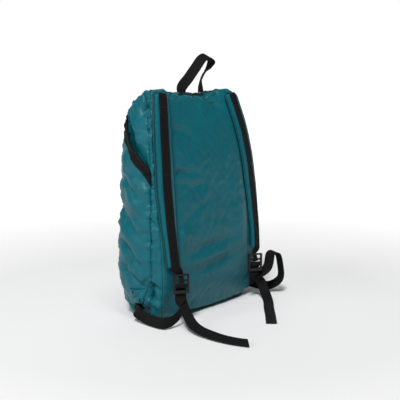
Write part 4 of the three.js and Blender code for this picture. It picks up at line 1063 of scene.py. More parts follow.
def band(name, line, nodes, wavy=0.0, slant=0.0):
    """A length of webbing with rounded edges along a line of point, outward side and width."""
    thickness = sizes()["webbing_thickness"]
    across, up, ahead = band_frames(line)
    width = line[:, 6:7]
    places = np.array([-1, -0.985, -0.95, -0.88, -0.6, -0.3, 0, 0.3, 0.6, 0.88, 0.95, 0.985, 1])
    half = np.sqrt(np.clip(1 - np.clip((np.abs(places) - 0.9) / 0.1, 0, 1) ** 2, 0.06, 1)) * thickness / 2
    run = np.concatenate([[0], np.cumsum(np.linalg.norm(np.diff(line[:, :3], axis=0), axis=-1))])
    curl = wavy * np.sin(run / 23.0)[:, None] * places ** 2
    middle = line[:, None, :3] + across[:, None] * (places[None] * width / 2)[..., None]
    middle = middle + up[:, None] * curl[..., None]
    cut = np.clip(1 - (run[-1] - run) / 25, 0, 1)[:, None] * slant * places[None]
    middle = middle + ahead[:, None] * cut[..., None]
    ends = np.clip(np.minimum(run, run[-1] - run) / 0.8, 0.35, 1)[:, None]
    outer = middle + up[:, None] * (half[None] * ends)[..., None]
    inner = middle - up[:, None] * (half[None] * ends)[..., None]
    vertices, faces, used = slab(outer, inner)
    uv = np.stack([places[None] * width / 2 + 0 * run[:, None], run[:, None] + 0 * places[None]], -1)
    uv = np.concatenate([uv.reshape(-1, 2)] * 2)[used]
    return make_piece(name, vertices, faces, webbing_material(), nodes, uv)


def station_across(distance, rise):
    """Station at a signed distance from the back centre line, for flat arrays."""
    rise = np.broadcast_to(rise, np.shape(distance))
    _, (_, _, seams) = outline_at(np.full(rise.shape, STRAP_STATION), rise)
    length = np.abs(distance)
    return np.sign(distance) * np.array([np.interp(l, s, np.arange(5)) for l, s in zip(length, seams)])


def strap_turn():
    return float(hem_rise(STRAP_STATION, -STRAP_TOP_DROP)) - 1


def strap_path(side, rise):
    """Centre points of a shoulder strap on the smooth surface, with across and outward vectors."""
    smooth, _ = skins()
    size = sizes()
    z, _ = height_at(np.full(rise.shape, STRAP_STATION), rise)
    column = "left" if side < 0 else "right"
    centre = curve(STRAP_LINE, "height", column, z / size["height"]) * size["width"] / 2
    station = station_across(side * centre, rise)
    turned = 1 + (rise - 1) * (hem_rise(station, -STRAP_TOP_DROP) - 1) / strap_turn()
    on = np.where(rise > 1, turned, rise)
    ahead = unit(smooth.point(station + 0.04, on) - smooth.point(station - 0.04, on))
    return smooth.point(station, on), ahead, smooth.normal(station, on)


def strap_lift(rise):
    hanging = np.clip(1 - (rise - STRAP_END_RISE) / STRAP_HANG_RISE, 0, 1)
    return STRAP_CLEARANCE + STRAP_HANG * hanging ** 2 + STRAP_ROOT_LIFT * np.clip(2 * (rise - 1), 0, 1)


def strap_width(rise):
    size = sizes()
    low = mix(STRAP_END_WIDTH, size["strap_width"], np.clip(3 * (rise - STRAP_END_RISE), 0, 1))
    return mix(low, STRAP_ROOT_WIDTH, np.clip(5 * (rise - 0.9), 0, 1))


def strap_rises(count):
    top = 1 + strap_turn() * STRAP_ROOT_SHARE
    wall = np.linspace(STRAP_END_RISE, 1, count, endpoint=False)
    return np.concatenate([wall, np.linspace(1, top, max(6, count // 10))])


def build_straps():
    """Padded shoulder straps with piped edges, and shade painted in the grooves inside the piping and along
    the edges.
    """
    pad = sizes()["strap_padding"]
    for side, label in ((-1, "left"), (1, "right")):
        rise = strap_rises(150)
        centre, ahead, out = strap_path(side, rise)
        places = np.sin(np.linspace(-1, 1, 41) * np.pi / 2)
        width = strap_width(rise)[:, None]
        run = np.concatenate([[0], np.cumsum(np.linalg.norm(np.diff(centre, axis=0), axis=-1))])[:, None]
        x = np.abs(places)[None]
        bead = bell((x - 0.95) / 0.045)
        body = (1 - ease(x, 0.5, 0.93)) ** 0.8 * (pad - 0.9)
        edge_wave = 0.35 * (ripple(run, 5.0, 5 + side) + ripple(run, 2.9, 9 + side)) * bell((x - 0.80) / 0.12)
        soft = 0.5 * ripple(run, 26, 15 + side) * (1 - x ** 2) + 0.3 * ripple(run, 11, 21 + side) * (1 - x)
        ends = np.clip(np.minimum(run, run[-1] - run) / 3.0, 0.25, 1) ** 0.5
        wiggle = 0.5 * ripple(run, 30, 25 + side) + 0.25 * ripple(run, 9, 27 + side)
        centre = centre + ahead * wiggle
        middle = centre[:, None] + ahead[:, None] * (places[None] * width / 2)[..., None]
        low = strap_lift(rise)[:, None] + 0.0 * x
        high = low + (0.9 + body + edge_wave + soft + 1.7 * bead) * ends
        outer = middle + out[:, None] * high[..., None]
        inner = middle + out[:, None] * (low - 0.5 * bead * ends)[..., None]
        vertices, faces, used = slab(outer, inner)
        uv = np.stack([places[None] * width / 2 + 0 * run, run + 0 * places[None]], -1)
        uv = np.concatenate([uv.reshape(-1, 2)] * 2)[used]
        # Darkening across the strap: partly the dark piping line, partly shade painted in the groove inside
        # the bead and along the outer edges
        trim = np.tile((np.maximum(bell((x - 0.86) / 0.07), ease(x, 0.965, 0.99)) + 0 * run).ravel(), 2)[used]
        obj = make_piece(f"shoulder_strap_{label}_padded", vertices, faces, nylon_material(),
                         [f"shoulder_strap_{label}"], uv, trim)


# Ladder locks


def lock_frame(lock):
    """Origin and axes (x across, y up, z out of its front) of a ladder lock."""
    _, _, turn, out, across = lock
    smooth, _ = skins()
    size = sizes()
    rise = float(rise_at(np.array([STRAP_STATION]), np.array([LOCK_HEIGHT]))[0])
    station = station_across(np.array([across * size["width"] / 2]), np.array([rise]))
    on = smooth.point(station, np.array([rise]))[0]
    angle = math.radians(turn)
    x = np.array([math.cos(angle), math.sin(angle), 0])
    y = np.array([0, 0, 1.0])
    z = np.cross(x, y)
    return np.array([on[0], on[1] - out, LOCK_HEIGHT]), np.stack([x, y, z])


def through_lock(lock, route, width):
    """Rows of point, outward side and width for webbing routed in the lock's y and z."""
    origin, axes = lock_frame(lock)
    rows = []
    for y, z, oy, oz in route:
        point = origin + y * axes[1] + z * axes[2]
        out = oy * axes[1] + oz * axes[2]
        rows.append(np.concatenate([point, unit(out), [width]]))
    return np.array(rows)


def slot_edge(k, end):
    return LOCK_SLOTS[k][end] * LOCK_LENGTH


def turn_room():
    return 0.45 + sizes()["webbing_thickness"] / 2


def bar_turn(y, z, first, last):
    room = turn_room()
    rows = []
    for angle in np.radians(np.linspace(first, last, 3)):
        out_y, out_z = math.cos(angle), math.sin(angle)
        rows.append((y + room * out_y, z + room * out_z, out_y, out_z))
    return rows


def neck_route():
    half = LOCK_THICKNESS / 2
    face = half + turn_room()
    return [
        (LOCK_LENGTH / 2 + 1.5, -face - 1.2, 0, 1),
        (slot_edge(0, 1) - 0.4, -face, 0.3, 0.9),
        *bar_turn(slot_edge(0, 0), half, 0, 90),
        *bar_turn(slot_edge(1, 1), half, 90, 180),
        *bar_turn(slot_edge(1, 1), -half, 180, 270),
        (slot_edge(0, 0) - 0.6, -face - 0.1, 0, -1),
    ]


def thread_route():
    half = LOCK_THICKNESS / 2
    face = half + turn_room()
    foot = -LOCK_LENGTH / 2
    behind = -face - sizes()["webbing_thickness"] - 0.6
    return [
        (foot - 5, behind - 1, 0, -1),
        (foot + 3, behind, 0, -1),
        (slot_edge(2, 1) - 2.4, behind, 0, -1),
        (slot_edge(2, 1) + 1.2, -face - 0.2, -0.3, -0.9),
        *bar_turn(slot_edge(1, 0), -half, -90, 0),
        *bar_turn(slot_edge(1, 0), half, 0, 90),
        *bar_turn(slot_edge(2, 1), half, 90, 180),
        (slot_edge(2, 0) + 0.6, -face, -0.2, 1),
        (foot, -face, 0, 1),
        (foot - 8, -face + 0.8, 0, 1),
    ]


def box_points(centre, size):
    corners = np.array([(x, y, z) for x in (-1, 1) for y in (-1, 1) for z in (-1, 1)], float) / 2
    faces = [(0, 1, 3, 2), (4, 6, 7, 5), (0, 4, 5, 1), (2, 3, 7, 6), (0, 2, 6, 4), (1, 5, 7, 3)]
    return corners * np.array(size) + np.array(centre), faces


def bevelled(obj, width, segments=3):
    """Rounds a mesh's edges and keeps the result as its own mesh."""
    modifier = obj.modifiers.new("Bevel", "BEVEL")
    modifier.width = width * MM
    modifier.segments = segments
    modifier.limit_method = "ANGLE"
    evaluated = obj.evaluated_get(bpy.context.evaluated_depsgraph_get())
    mesh = bpy.data.meshes.new_from_object(evaluated)
    obj.modifiers.clear()
    obj.data = mesh
    mesh.shade_smooth()


def rounded_boxes(name, boxes, origin, axes, bevel, nodes, material):
    """One piece from boxes given by centre and size in a frame, with rounded edges."""
    points = []
    faces = []
    for centre, size in boxes:
        corners, sides = box_points(centre, size)
        faces += [tuple(len(points) + i for i in side) for side in sides]
        points += (origin + corners @ axes).tolist()
    mesh = bpy.data.meshes.new(name)
    mesh.from_pydata((np.array(points) * MM).tolist(), [], faces)
    obj = bpy.data.objects.new(name, mesh)
    bpy.context.scene.collection.objects.link(obj)
    obj.data.materials.append(material)
    bevelled(obj, bevel)
    settle(obj, nodes)
    return obj


def build_locks():
    """Ladder locks: two rails, a top bar, two ladder bars and a lipped lower bar."""
    for lock in LOCKS:
        origin, axes = lock_frame(lock)
        half = LOCK_LENGTH / 2
        rail = (LOCK_WIDTH - LOCK_SLOT_WIDTH) / 2
        rail_x = (LOCK_WIDTH - rail) / 2
        bars = [
            (slot_edge(0, 1), half, 0.0, LOCK_THICKNESS * 0.9),
            (slot_edge(1, 1), slot_edge(0, 0), 0.0, LOCK_THICKNESS * 0.8),
            (slot_edge(2, 1), slot_edge(1, 0), 0.0, LOCK_THICKNESS * 0.8),
            (-half, slot_edge(2, 0), 0.25, LOCK_THICKNESS * 1.1),
        ]
        boxes = [((side * rail_x, 0, 0), (rail, LOCK_LENGTH - 1.5, LOCK_THICKNESS)) for side in (-1, 1)]
        for low, high, out, thick in bars:
            boxes.append(((0, (low + high) / 2, out), (LOCK_WIDTH - 1.4, high - low, thick)))
        rounded_boxes(f"ladder_lock_{lock[0]}_buckle", boxes, origin, axes, 0.85,
                      [f"ladder_lock_{lock[0]}"], plastic_material())


def build_strap_webbing():
    """The webbing sewn down each shoulder strap, narrowed where it enters its lock."""
    size = sizes()
    for lock in LOCKS:
        label, side = lock[:2]
        rise = strap_rises(60)[::-1]
        centre, _, out = strap_path(side, rise)
        lift = strap_lift(rise) + size["strap_padding"] + 0.1 + size["webbing_thickness"] / 2
        upper = np.concatenate([
            centre + out * lift[:, None], out, np.full((len(rise), 1), size["webbing_width"])], 1)
        neck = through_lock(lock, neck_route(), LOCK_NECK_WIDTH)
        line = smooth_line(np.concatenate([upper, neck]))
        band(f"strap_webbing_{label}_strip", line, [f"strap_webbing_{label}"])


def route_rows(routes, side, origin, reach, width):
    rows = []
    for aside, back, up, face_side, face_back, face_up in routes:
        point = np.array([origin[0] + side * aside * reach, origin[1] - back * reach, up * reach])
        out = unit(np.array([side * face_side, -face_back, face_up]))
        rows.append(np.concatenate([point, out, [width]]))
    return np.array(rows)


def build_lower_straps():
    """The lower straps, from the anchor tabs through the locks to their cut ends, and the tabs."""
    smooth, skin = skins()
    width = sizes()["webbing_width"]
    for lock in LOCKS:
        label, side = lock[:2]
        rise = rise_at(np.array([float(side)]), np.array([BASE_RADIUS * 2.0]))
        corner = smooth.point(np.array([float(side)]), rise)[0]
        above = np.array([TAB_HEIGHT / 3, -TAB_HEIGHT / 6, -TAB_HEIGHT / 2 - 7]) + TAB_CENTRE_HEIGHT
        station = np.full(3, side * TAB_STATION)
        rise = rise_at(station, above)
        normal = skin.normal(station, rise)
        on = skin.point(station, rise) + normal * (TUCK_LOW + 0.65)
        tuck = np.concatenate([on, normal, np.full((3, 1), width)], 1)
        loop = route_rows(LOOP_ROUTES[label], side, corner, STRAP_LOOP_REACH, width)
        thread = through_lock(lock, thread_route(), width)
        tail = route_rows(TAIL_ROUTES[label], side, thread[-1, :3], TAIL_REACH, width)
        line = smooth_line(np.concatenate([tuck, loop, thread, tail]))
        band(f"lower_webbing_{label}_strap", line, [f"lower_webbing_{label}"], 0.5,
             5.0 if side < 0 else 0.0)
        a = np.linspace(-0.5, 0.5, 23)[None]
        b = np.linspace(0, 1, 21)[:, None]
        station = side * (TAB_STATION + a * TAB_WIDTH * mix(0.7, 1, b) / SIDE_PER_STATION)
        rise = rise_at(station, TAB_CENTRE_HEIGHT + (b - 0.5) * TAB_HEIGHT + 0 * a)
        hump = 1.5 * bell(a / 0.32)
        cloth_sheet(f"anchor_tab_{label}_cloth", station, rise, [f"anchor_tab_{label}"],
                    lift=TUCK_LOW + 0.9 + hump + 0 * b, thickness=1.0, tuck=1.2)


def build_haul_loop():
    """The haul loop: a twisted length of webbing from one foot over to the other."""
    smooth, _ = skins()
    width = sizes()["webbing_width"]
    feet = []
    for x, out in ((-HAUL_FOOT_SPREAD / 2, (-0.2, -1, 0)), (HAUL_FOOT_SPREAD / 2, (0.1, -1, 0))):
        station = station_across(np.array([HAUL_CENTRE + x]), np.array([1.8]))
        rise = hem_rise(station)
        point = smooth.point(station, rise) + smooth.normal(station, rise) * HAUL_CLEARANCE
        feet.append(np.concatenate([point[0], unit(np.array(out, float)), [width]]))
    base = (feet[0][:3] + feet[1][:3]) / 2
    rows = []
    for across, back, up, fx, fy, fz in HAUL_ROUTE:
        point = base + np.array([across, -back, up]) * HAUL_RISE
        rows.append(np.concatenate([point, unit(np.array([fx, fy, fz])), [width]]))
    line = smooth_line(np.array([feet[0], *rows, feet[1]]))
    band("haul_loop_webbing", line, ["haul_loop"])


def build_zip():
    """The main zip: two tapes with coil teeth, the slider and its pull."""
    inner = np.linspace(3 + ZIP_RAMP * 0.12, 5 - ZIP_RAMP * 0.12, 181)
    _, skin = skins()
    teeth = []
    for label, way in (("front", -1), ("top", 1)):
        width = ZIP_TAPE_WIDTH * np.maximum(zip_widening(inner), 0.05)
        share = np.linspace(0, 1, 9)[:, None]
        shift = way * (zip_gape(inner) * zip_widening(inner) + 0.6 + share * width)
        rise = hem_rise(inner[None], shift)
        cloth_sheet(f"zip_tape_{label}_band", np.broadcast_to(inner, rise.shape), rise,
                    [f"zip_tape_{label}"], lift=-0.6, thickness=0.8,
                    material=webbing_material(), tuck=0.0)
        station = np.linspace(3 + ZIP_RAMP * 0.4, 5 - ZIP_RAMP * 0.4, 2000)
        edge_rise = hem_rise(station, way * (zip_gape(station) * zip_widening(station) + 0.9))
        teeth.append((skin.point(station, edge_rise) + skin.normal(station, edge_rise) * 0.1,
                      skin.normal(station, edge_rise)))
    spots = [place_along(points, normals, TOOTH_PITCH) for points, normals in teeth]
    scatter("zip_teeth", spots, (0.9, 3.0, 1.5), plastic_material())
    build_slider(skin)


def build_slider(skin):
    size = sizes()
    per_station = size["width"] / 2 - FRONT_CORNER_RADIUS / 2
    station = 3 + ZIP_RAMP + (ZIP_MOUTH_LENGTH + 5.5) / per_station
    rise = hem_rise(np.array([station]))
    here = np.array([station])
    out = skin.normal(here, rise)[0]
    up = unit(skin.point(here, rise + 0.05)[0] - skin.point(here, rise - 0.05)[0])
    across = unit(np.cross(up, out))
    up = np.cross(out, across)
    axes = np.stack([across, up, out])
    origin = skin.point(here, rise)[0] + out * 3.2
    body = [
        ((0, 0, -1.0), (11, 8.4, 1.5)),
        ((0, 0, 1.1), (10, 7.6, 1.5)),
        ((0, 0, 0), (2.4, 3.0, 3.4)),
        ((0, -1.0, 2.3), (6.0, 1.8, 1.6)),
    ]
    rounded_boxes("zip_slider_body", body, origin, axes, 0.5, ["zip_slider"], plastic_material())
    route = [(0.5, 3.2), (-4, 3.0), (-10, 1.8), (-17, 0.6), (-25, 0.2)]
    rows = []
    for y, z in route:
        rows.append(np.concatenate([origin + up * y + out * z, out, [4.6]]))
    band("zip_pull_tab", smooth_line(np.array(rows)), ["zip_pull"])


# Stitches and teeth


def place_along(points, normals, pitch):
    """Places at an even pitch along a line of points: position and Euler turn."""
    steps = np.linalg.norm(np.diff(points, axis=0), axis=-1)
    run = np.concatenate([[0], np.cumsum(steps)])
    at = np.arange(pitch / 2, run[-1], pitch)
    where = np.stack([np.interp(at, run, points[:, k]) for k in range(3)], -1)
    out = unit(np.stack([np.interp(at, run, normals[:, k]) for k in range(3)], -1))
    ahead = np.stack([np.interp(at + 0.5, run, points[:, k]) for k in range(3)], -1) - np.stack(
        [np.interp(at - 0.5, run, points[:, k]) for k in range(3)], -1)
    side = unit(np.cross(out, ahead))
    ahead = np.cross(side, out)
    turn = np.stack([
        np.arctan2(side[:, 2], out[:, 2]),
        -np.arcsin(np.clip(ahead[:, 2], -1, 1)),
        np.arctan2(ahead[:, 1], ahead[:, 0]),
    ], -1)
    return where, turn


def scatter_tree(name, material):
    """A node tree that sets a small rounded bead on each point, turned by its attribute."""
    tree = bpy.data.node_groups.new(name, "GeometryNodeTree")
    sockets = {}
    for label, kind in (("Places", "Geometry"), ("Length", "Float"), ("Width", "Float"),
                        ("Height", "Float"), ("Seed", "Int")):
        sockets[label] = tree.interface.new_socket(label, in_out="INPUT", socket_type=f"NodeSocket{kind}")
    tree.interface.new_socket("Geometry", in_out="OUTPUT", socket_type="NodeSocketGeometry")
    new = tree.nodes.new
    link = tree.links.new
    source = new("NodeGroupInput")
    points = new("GeometryNodeMeshToPoints")
    bead = new("GeometryNodeMeshUVSphere")
    bead.inputs["Segments"].default_value = 6
    bead.inputs["Rings"].default_value = 4
    bead.inputs["Radius"].default_value = 0.5
    size = new("ShaderNodeCombineXYZ")
    turn = new("GeometryNodeInputNamedAttribute")
    turn.data_type = "FLOAT_VECTOR"
    turn.inputs["Name"].default_value = "turn"
    rotation = new("FunctionNodeEulerToRotation")
    jitter = new("FunctionNodeRandomValue")
    jitter.data_type = "FLOAT"
    jitter.inputs[2].default_value = 0.9
    jitter.inputs[3].default_value = 1.1
    scaled = new("ShaderNodeVectorMath")
    scaled.operation = "SCALE"
    instances = new("GeometryNodeInstanceOnPoints")
    real = new("GeometryNodeRealizeInstances")
    finish = new("GeometryNodeSetMaterial")
    finish.inputs["Material"].default_value = material
    target = new("NodeGroupOutput")
    link(source.outputs["Places"], points.inputs["Mesh"])
    link(source.outputs["Length"], size.inputs["X"])
    link(source.outputs["Width"], size.inputs["Y"])
    link(source.outputs["Height"], size.inputs["Z"])
    link(source.outputs["Seed"], jitter.inputs["Seed"])
    link(size.outputs[0], scaled.inputs[0])
    link(jitter.outputs[1], scaled.inputs["Scale"])
    link(turn.outputs[0], rotation.inputs[0])
    link(points.outputs[0], instances.inputs["Points"])
    link(bead.outputs["Mesh"], instances.inputs["Instance"])
    link(rotation.outputs[0], instances.inputs["Rotation"])
    link(scaled.outputs[0], instances.inputs["Scale"])
    link(instances.outputs[0], real.inputs[0])
    link(real.outputs[0], finish.inputs["Geometry"])
    link(finish.outputs[0], target.inputs[0])
    return tree, sockets


def scatter(name, spots, size, material):
    """A piece made of one small bead per place."""
    where = np.concatenate([spot[0] for spot in spots])
    turn = np.concatenate([spot[1] for spot in spots])
    mesh = bpy.data.meshes.new(name)
    mesh.from_pydata((where * MM).tolist(), [], [])
    attribute = mesh.attributes.new("turn", "FLOAT_VECTOR", "POINT")
    attribute.data.foreach_set("vector", turn.ravel())
    obj = bpy.data.objects.new(name, mesh)
    bpy.context.scene.collection.objects.link(obj)
    tree, sockets = scatter_tree(name, material)
    modifier = obj.modifiers.new("Beads", "NODES")
    modifier.node_group = tree
    for label, value in zip(("Length", "Width", "Height"), size):
        modifier[sockets[label].identifier] = value * MM
    modifier[sockets["Seed"].identifier] = 3
    obj.update_tag()
    evaluated = obj.evaluated_get(bpy.context.evaluated_depsgraph_get())
    final = bpy.data.meshes.new_from_object(evaluated)
    obj.modifiers.clear()
    obj.data = final
    final.shade_smooth()
    settle(obj)
    return obj


def build_stitches():
    """Topstitching along the seams, the zip, the straps and the pocket bindings, and across and down the
    strap webbing.
    """
    _, skin = skins()
    size = sizes()
    pitch = size["stitch_spacing"]
    spots = []

    def on_skin(station, rise, lift=0.25):
        points = skin.point(station, rise) + skin.normal(station, rise) * np.asarray(lift)[..., None]
        spots.append(place_along(points, skin.normal(station, rise), pitch))

    for side in (-1, 1):
        for seam, way in ((1, -1), (2, -1), (3, 1)):
            station = np.full(400, float(side * seam))
            hem = float(hem_rise(side * seam))
            rise = np.concatenate([np.linspace(-0.4, 1, 360), np.linspace(1, hem, 40)])
            width = 3.2 / (150 if seam == 1 and way < 0 else 24 if seam == 2 else 130)
            on_skin(station + side * way * width, rise)
    ring = np.linspace(-3, 3, 1500)
    on_skin(ring, hem_rise(ring, -3.4))
    on_skin(ring, hem_rise(ring, 3.4))
    front = np.linspace(3.2, 4.8, 600)
    on_skin(front, hem_rise(front, -zip_shift(front) - 2.6))
    on_skin(front, hem_rise(front, zip_shift(front) + 2.6))
    binding = size["binding_width"]
    for side in (-1, 1):
        a = np.linspace(0.03, 0.97, 200)
        for up in (0.12, 0.86):
            z = mouth_height(a) - binding * (1 - up)
            share = (z - POCKET_BOTTOM) / (mouth_height(a) - POCKET_BOTTOM)
            station = side * (2 + a)
            on_skin(station, rise_at(station, z), pocket_lift(a, share) + 1.4)
        rise = strap_rises(200)
        centre, ahead, out = strap_path(side, rise)
        for place in (-0.86, 0.86):
            aside = place * strap_width(rise) / 2
            lift = strap_lift(rise) + 1.25
            points = centre + ahead * aside[:, None] + out * lift[:, None]
            spots.append(place_along(points, out, pitch))
    scatter("seam_stitches", spots, (size["stitch_length"], 0.55, 0.5), thread_material())
    marks = []
    for side in (-1, 1):
        rise = strap_rises(200)
        centre, ahead, out = strap_path(side, rise)
        lift = strap_lift(rise) + size["strap_padding"] + 0.1 + size["webbing_thickness"]
        points = centre + out * lift[:, None]
        for aside in (-8.4, 8.4):
            marks.append(place_along((points + ahead * aside)[6:], out[6:], pitch))
        for at in (0.02, 0.5, 0.86, 0.965):
            i = int(at * (len(rise) - 1))
            line = np.stack([points[i] + ahead[i] * x for x in np.linspace(-8.4, 8.4, 20)])
            for nudge in (0, 2.6):
                step = unit(points[min(i + 1, len(points) - 1)] - points[max(i - 1, 0)]) * nudge
                marks.append(place_along(line + step, np.broadcast_to(out[i], line.shape), pitch * 0.7))
    bead = (size["stitch_length"], 0.6, 0.5)
    scatter("webbing_stitches", marks, bead, webbing_thread_material())


# Materials


class Shade:
    """A shader socket that takes sums: each operator adds one math node to its tree."""

    def __init__(self, tree, socket):
        self.tree = tree
        self.socket = socket

    def node(self, kind, output=0, settings=None, **inputs):
        made = self.tree.nodes.new(kind)
        for name, value in (settings or {}).items():
            setattr(made, name, value)
        for name, value in inputs.items():
            socket = made.inputs[name.replace("_", " ")]
            if isinstance(value, Shade):
                self.tree.links.new(value.socket, socket)
            else:
                socket.default_value = value
        return Shade(self.tree, made.outputs[output])

    def math(self, operation, *values):
        made = self.tree.nodes.new("ShaderNodeMath")
        made.operation = operation
        for socket, value in zip(made.inputs, values):
            if isinstance(value, Shade):
                self.tree.links.new(value.socket, socket)
            else:
                socket.default_value = value
        return Shade(self.tree, made.outputs[0])

    def __add__(self, other):
        return self.math("ADD", self, other)

    def __radd__(self, other):
        return self.math("ADD", other, self)

    def __sub__(self, other):
        return self.math("SUBTRACT", self, other)

    def __rsub__(self, other):
        return self.math("SUBTRACT", other, self)

    def __mul__(self, other):
        return self.math("MULTIPLY", self, other)

    def __rmul__(self, other):
        return self.math("MULTIPLY", other, self)

    def __truediv__(self, other):
        return self.math("DIVIDE", self, other)

    def __rtruediv__(self, other):
        return self.math("DIVIDE", other, self)


def colours():
    return bpy.context.scene.backpack_colours


def start_material(name, roughness, specular):
    """A new material, its shader, and sockets with the object coordinates and the UV."""
    material = bpy.data.materials.new(name)
    material.use_nodes = True
    tree = material.node_tree
    shader = tree.nodes["Principled BSDF"]
    shader.inputs["Roughness"].default_value = roughness
    shader.inputs["Specular IOR Level"].default_value = specular
    coordinates = tree.nodes.new("ShaderNodeTexCoord")
    place = Shade(tree, coordinates.outputs["Object"])
    return material, shader, place, Shade(tree, coordinates.outputs["UV"])


def connect(shade, shader, name):
    shade.tree.links.new(shade.socket, shader.inputs[name])


def blend_colour(factor, first, second):
    """Mix of two plain colours by a factor socket."""
    made = factor.tree.nodes.new("ShaderNodeMix")
    made.data_type = "RGBA"
    factor.tree.links.new(factor.socket, made.inputs[0])
    made.inputs[6].default_value = (*first, 1)
    made.inputs[7].default_value = (*second, 1)
    return Shade(factor.tree, made.outputs[2])


def shaded(base, share):
    return tuple(part * share for part in base)


def bump(height, strength, distance):
    return height.node("ShaderNodeBump", Height=height, Strength=strength, Distance=distance * MM)


def nylon_material(kind="nylon"):
    """Thin coated nylon: satin, with fine crinkles and a tight plain weave."""
    name = "coated " + kind
    if name in bpy.data.materials:
        return bpy.data.materials[name]
    base = tuple(getattr(colours(), kind))
    material, shader, place, uv = start_material(name, 0.4, 0.22)
    broad = place.node("ShaderNodeTexNoise", Vector=place, Scale=14.0, Detail=3.0)
    tint = blend_colour(broad, shaded(base, 0.86), shaded(base, 1.12))
    # Cloth darkened by the point attribute: the straps' dark piping line and painted shade in its groove and
    # along the straps' edges
    trim = place.node("ShaderNodeAttribute", 2, {"attribute_name": "trim"})
    mixed = place.tree.nodes.new("ShaderNodeMix")
    mixed.data_type = "RGBA"
    place.tree.links.new(trim.socket, mixed.inputs[0])
    place.tree.links.new(tint.socket, mixed.inputs[6])
    mixed.inputs[7].default_value = (*shaded(base, PIPING_AND_PAINTED_SHADE), 1)
    place.tree.links.new(mixed.outputs[2], shader.inputs["Base Color"])
    fine = place.node("ShaderNodeTexNoise", Vector=place, Scale=60.0, Detail=4.0)
    connect(fine * 0.14 + 0.34, shader, "Roughness")
    crumple = place.node("ShaderNodeTexNoise", settings={"noise_type": "RIDGED_MULTIFRACTAL"},
                         Vector=place, Scale=55.0, Detail=3.0)
    axis = place.tree.nodes.new("ShaderNodeSeparateXYZ")
    place.tree.links.new(uv.socket, axis.inputs[0])
    warp = Shade(place.tree, axis.outputs[0])
    weft = Shade(place.tree, axis.outputs[1])
    pitch = 2 * math.pi / (0.55 * MM)
    weave = place.math("SINE", warp * pitch) * place.math("SINE", weft * pitch)
    surface = crumple * 0.55 + fine * 0.7 + weave * 0.03
    connect(bump(surface, 0.35, 0.55), shader, "Normal")
    return material


def webbing_material():
    """Woven black webbing: ribs in a herringbone that follows the band."""
    if "woven webbing" in bpy.data.materials:
        return bpy.data.materials["woven webbing"]
    base = tuple(colours().webbing)
    material, shader, place, uv = start_material("woven webbing", 0.75, 0.12)
    axis = place.tree.nodes.new("ShaderNodeSeparateXYZ")
    place.tree.links.new(uv.socket, axis.inputs[0])
    across = Shade(place.tree, axis.outputs[0])
    along = Shade(place.tree, axis.outputs[1])
    zigzag = place.math("PINGPONG", across, 2.5 * MM)
    rib = place.math("SINE", (along + zigzag) * (2 * math.pi / (1.5 * MM)))
    cords = place.math("SINE", across * (2 * math.pi / (0.9 * MM)))
    weave = rib * 0.6 + cords * 0.4
    shade = weave * 0.25 + 0.5
    tint = blend_colour(shade, shaded(base, 0.7), shaded(base, 1.4))
    connect(tint, shader, "Base Color")
    connect(bump(weave, 0.45, 0.25), shader, "Normal")
    return material


def plastic_material():
    """Moulded black acetal with a fine grain."""
    if "moulded plastic" in bpy.data.materials:
        return bpy.data.materials["moulded plastic"]
    base = tuple(colours().plastic)
    material, shader, place, _ = start_material("moulded plastic", 0.36, 0.35)
    grain = place.node("ShaderNodeTexNoise", Vector=place, Scale=900.0, Detail=2.0)
    broad = place.node("ShaderNodeTexNoise", Vector=place, Scale=40.0, Detail=2.0)
    tint = blend_colour(broad, shaded(base, 0.85), shaded(base, 1.2))
    connect(tint, shader, "Base Color")
    connect(grain * 0.12 + 0.30, shader, "Roughness")
    connect(bump(grain, 0.12, 0.1), shader, "Normal")
    return material


def plain_thread(name, base):
    material, shader, place, _ = start_material(name, 0.55, 0.4)
    twist = place.node("ShaderNodeTexNoise", Vector=place, Scale=500.0, Detail=1.0)
    connect(blend_colour(twist, shaded(base, 0.8), shaded(base, 1.2)), shader, "Base Color")
    return material


def thread_material():
    """Sewing thread in the cloth's colour."""
    if "thread" in bpy.data.materials:
        return bpy.data.materials["thread"]
    return plain_thread("thread", tuple(colours().thread))


def webbing_thread_material():
    """Black sewing thread on the webbing."""
    if "webbing_thread" in bpy.data.materials:
        return bpy.data.materials["webbing_thread"]
    return plain_thread("webbing_thread", shaded(colours().webbing, 2.2))


# Stage


def facing(away):
    """Turn of a light whose beam comes from the direction away."""
    flat = math.hypot(away[0], away[1])
    return math.atan2(flat, away[2]), 0, math.atan2(away[1], away[0]) + math.pi / 2


def area_light(name, place, target, size, power):
    light = bpy.data.lights.new(name, "AREA")
    light.shape = "DISK"
    light.size = size
    light.energy = power
    obj = bpy.data.objects.new(name, light)
    obj.location = place
    obj.rotation_euler = facing(np.array(place) - np.array(target))
    bpy.context.scene.collection.objects.link(obj)


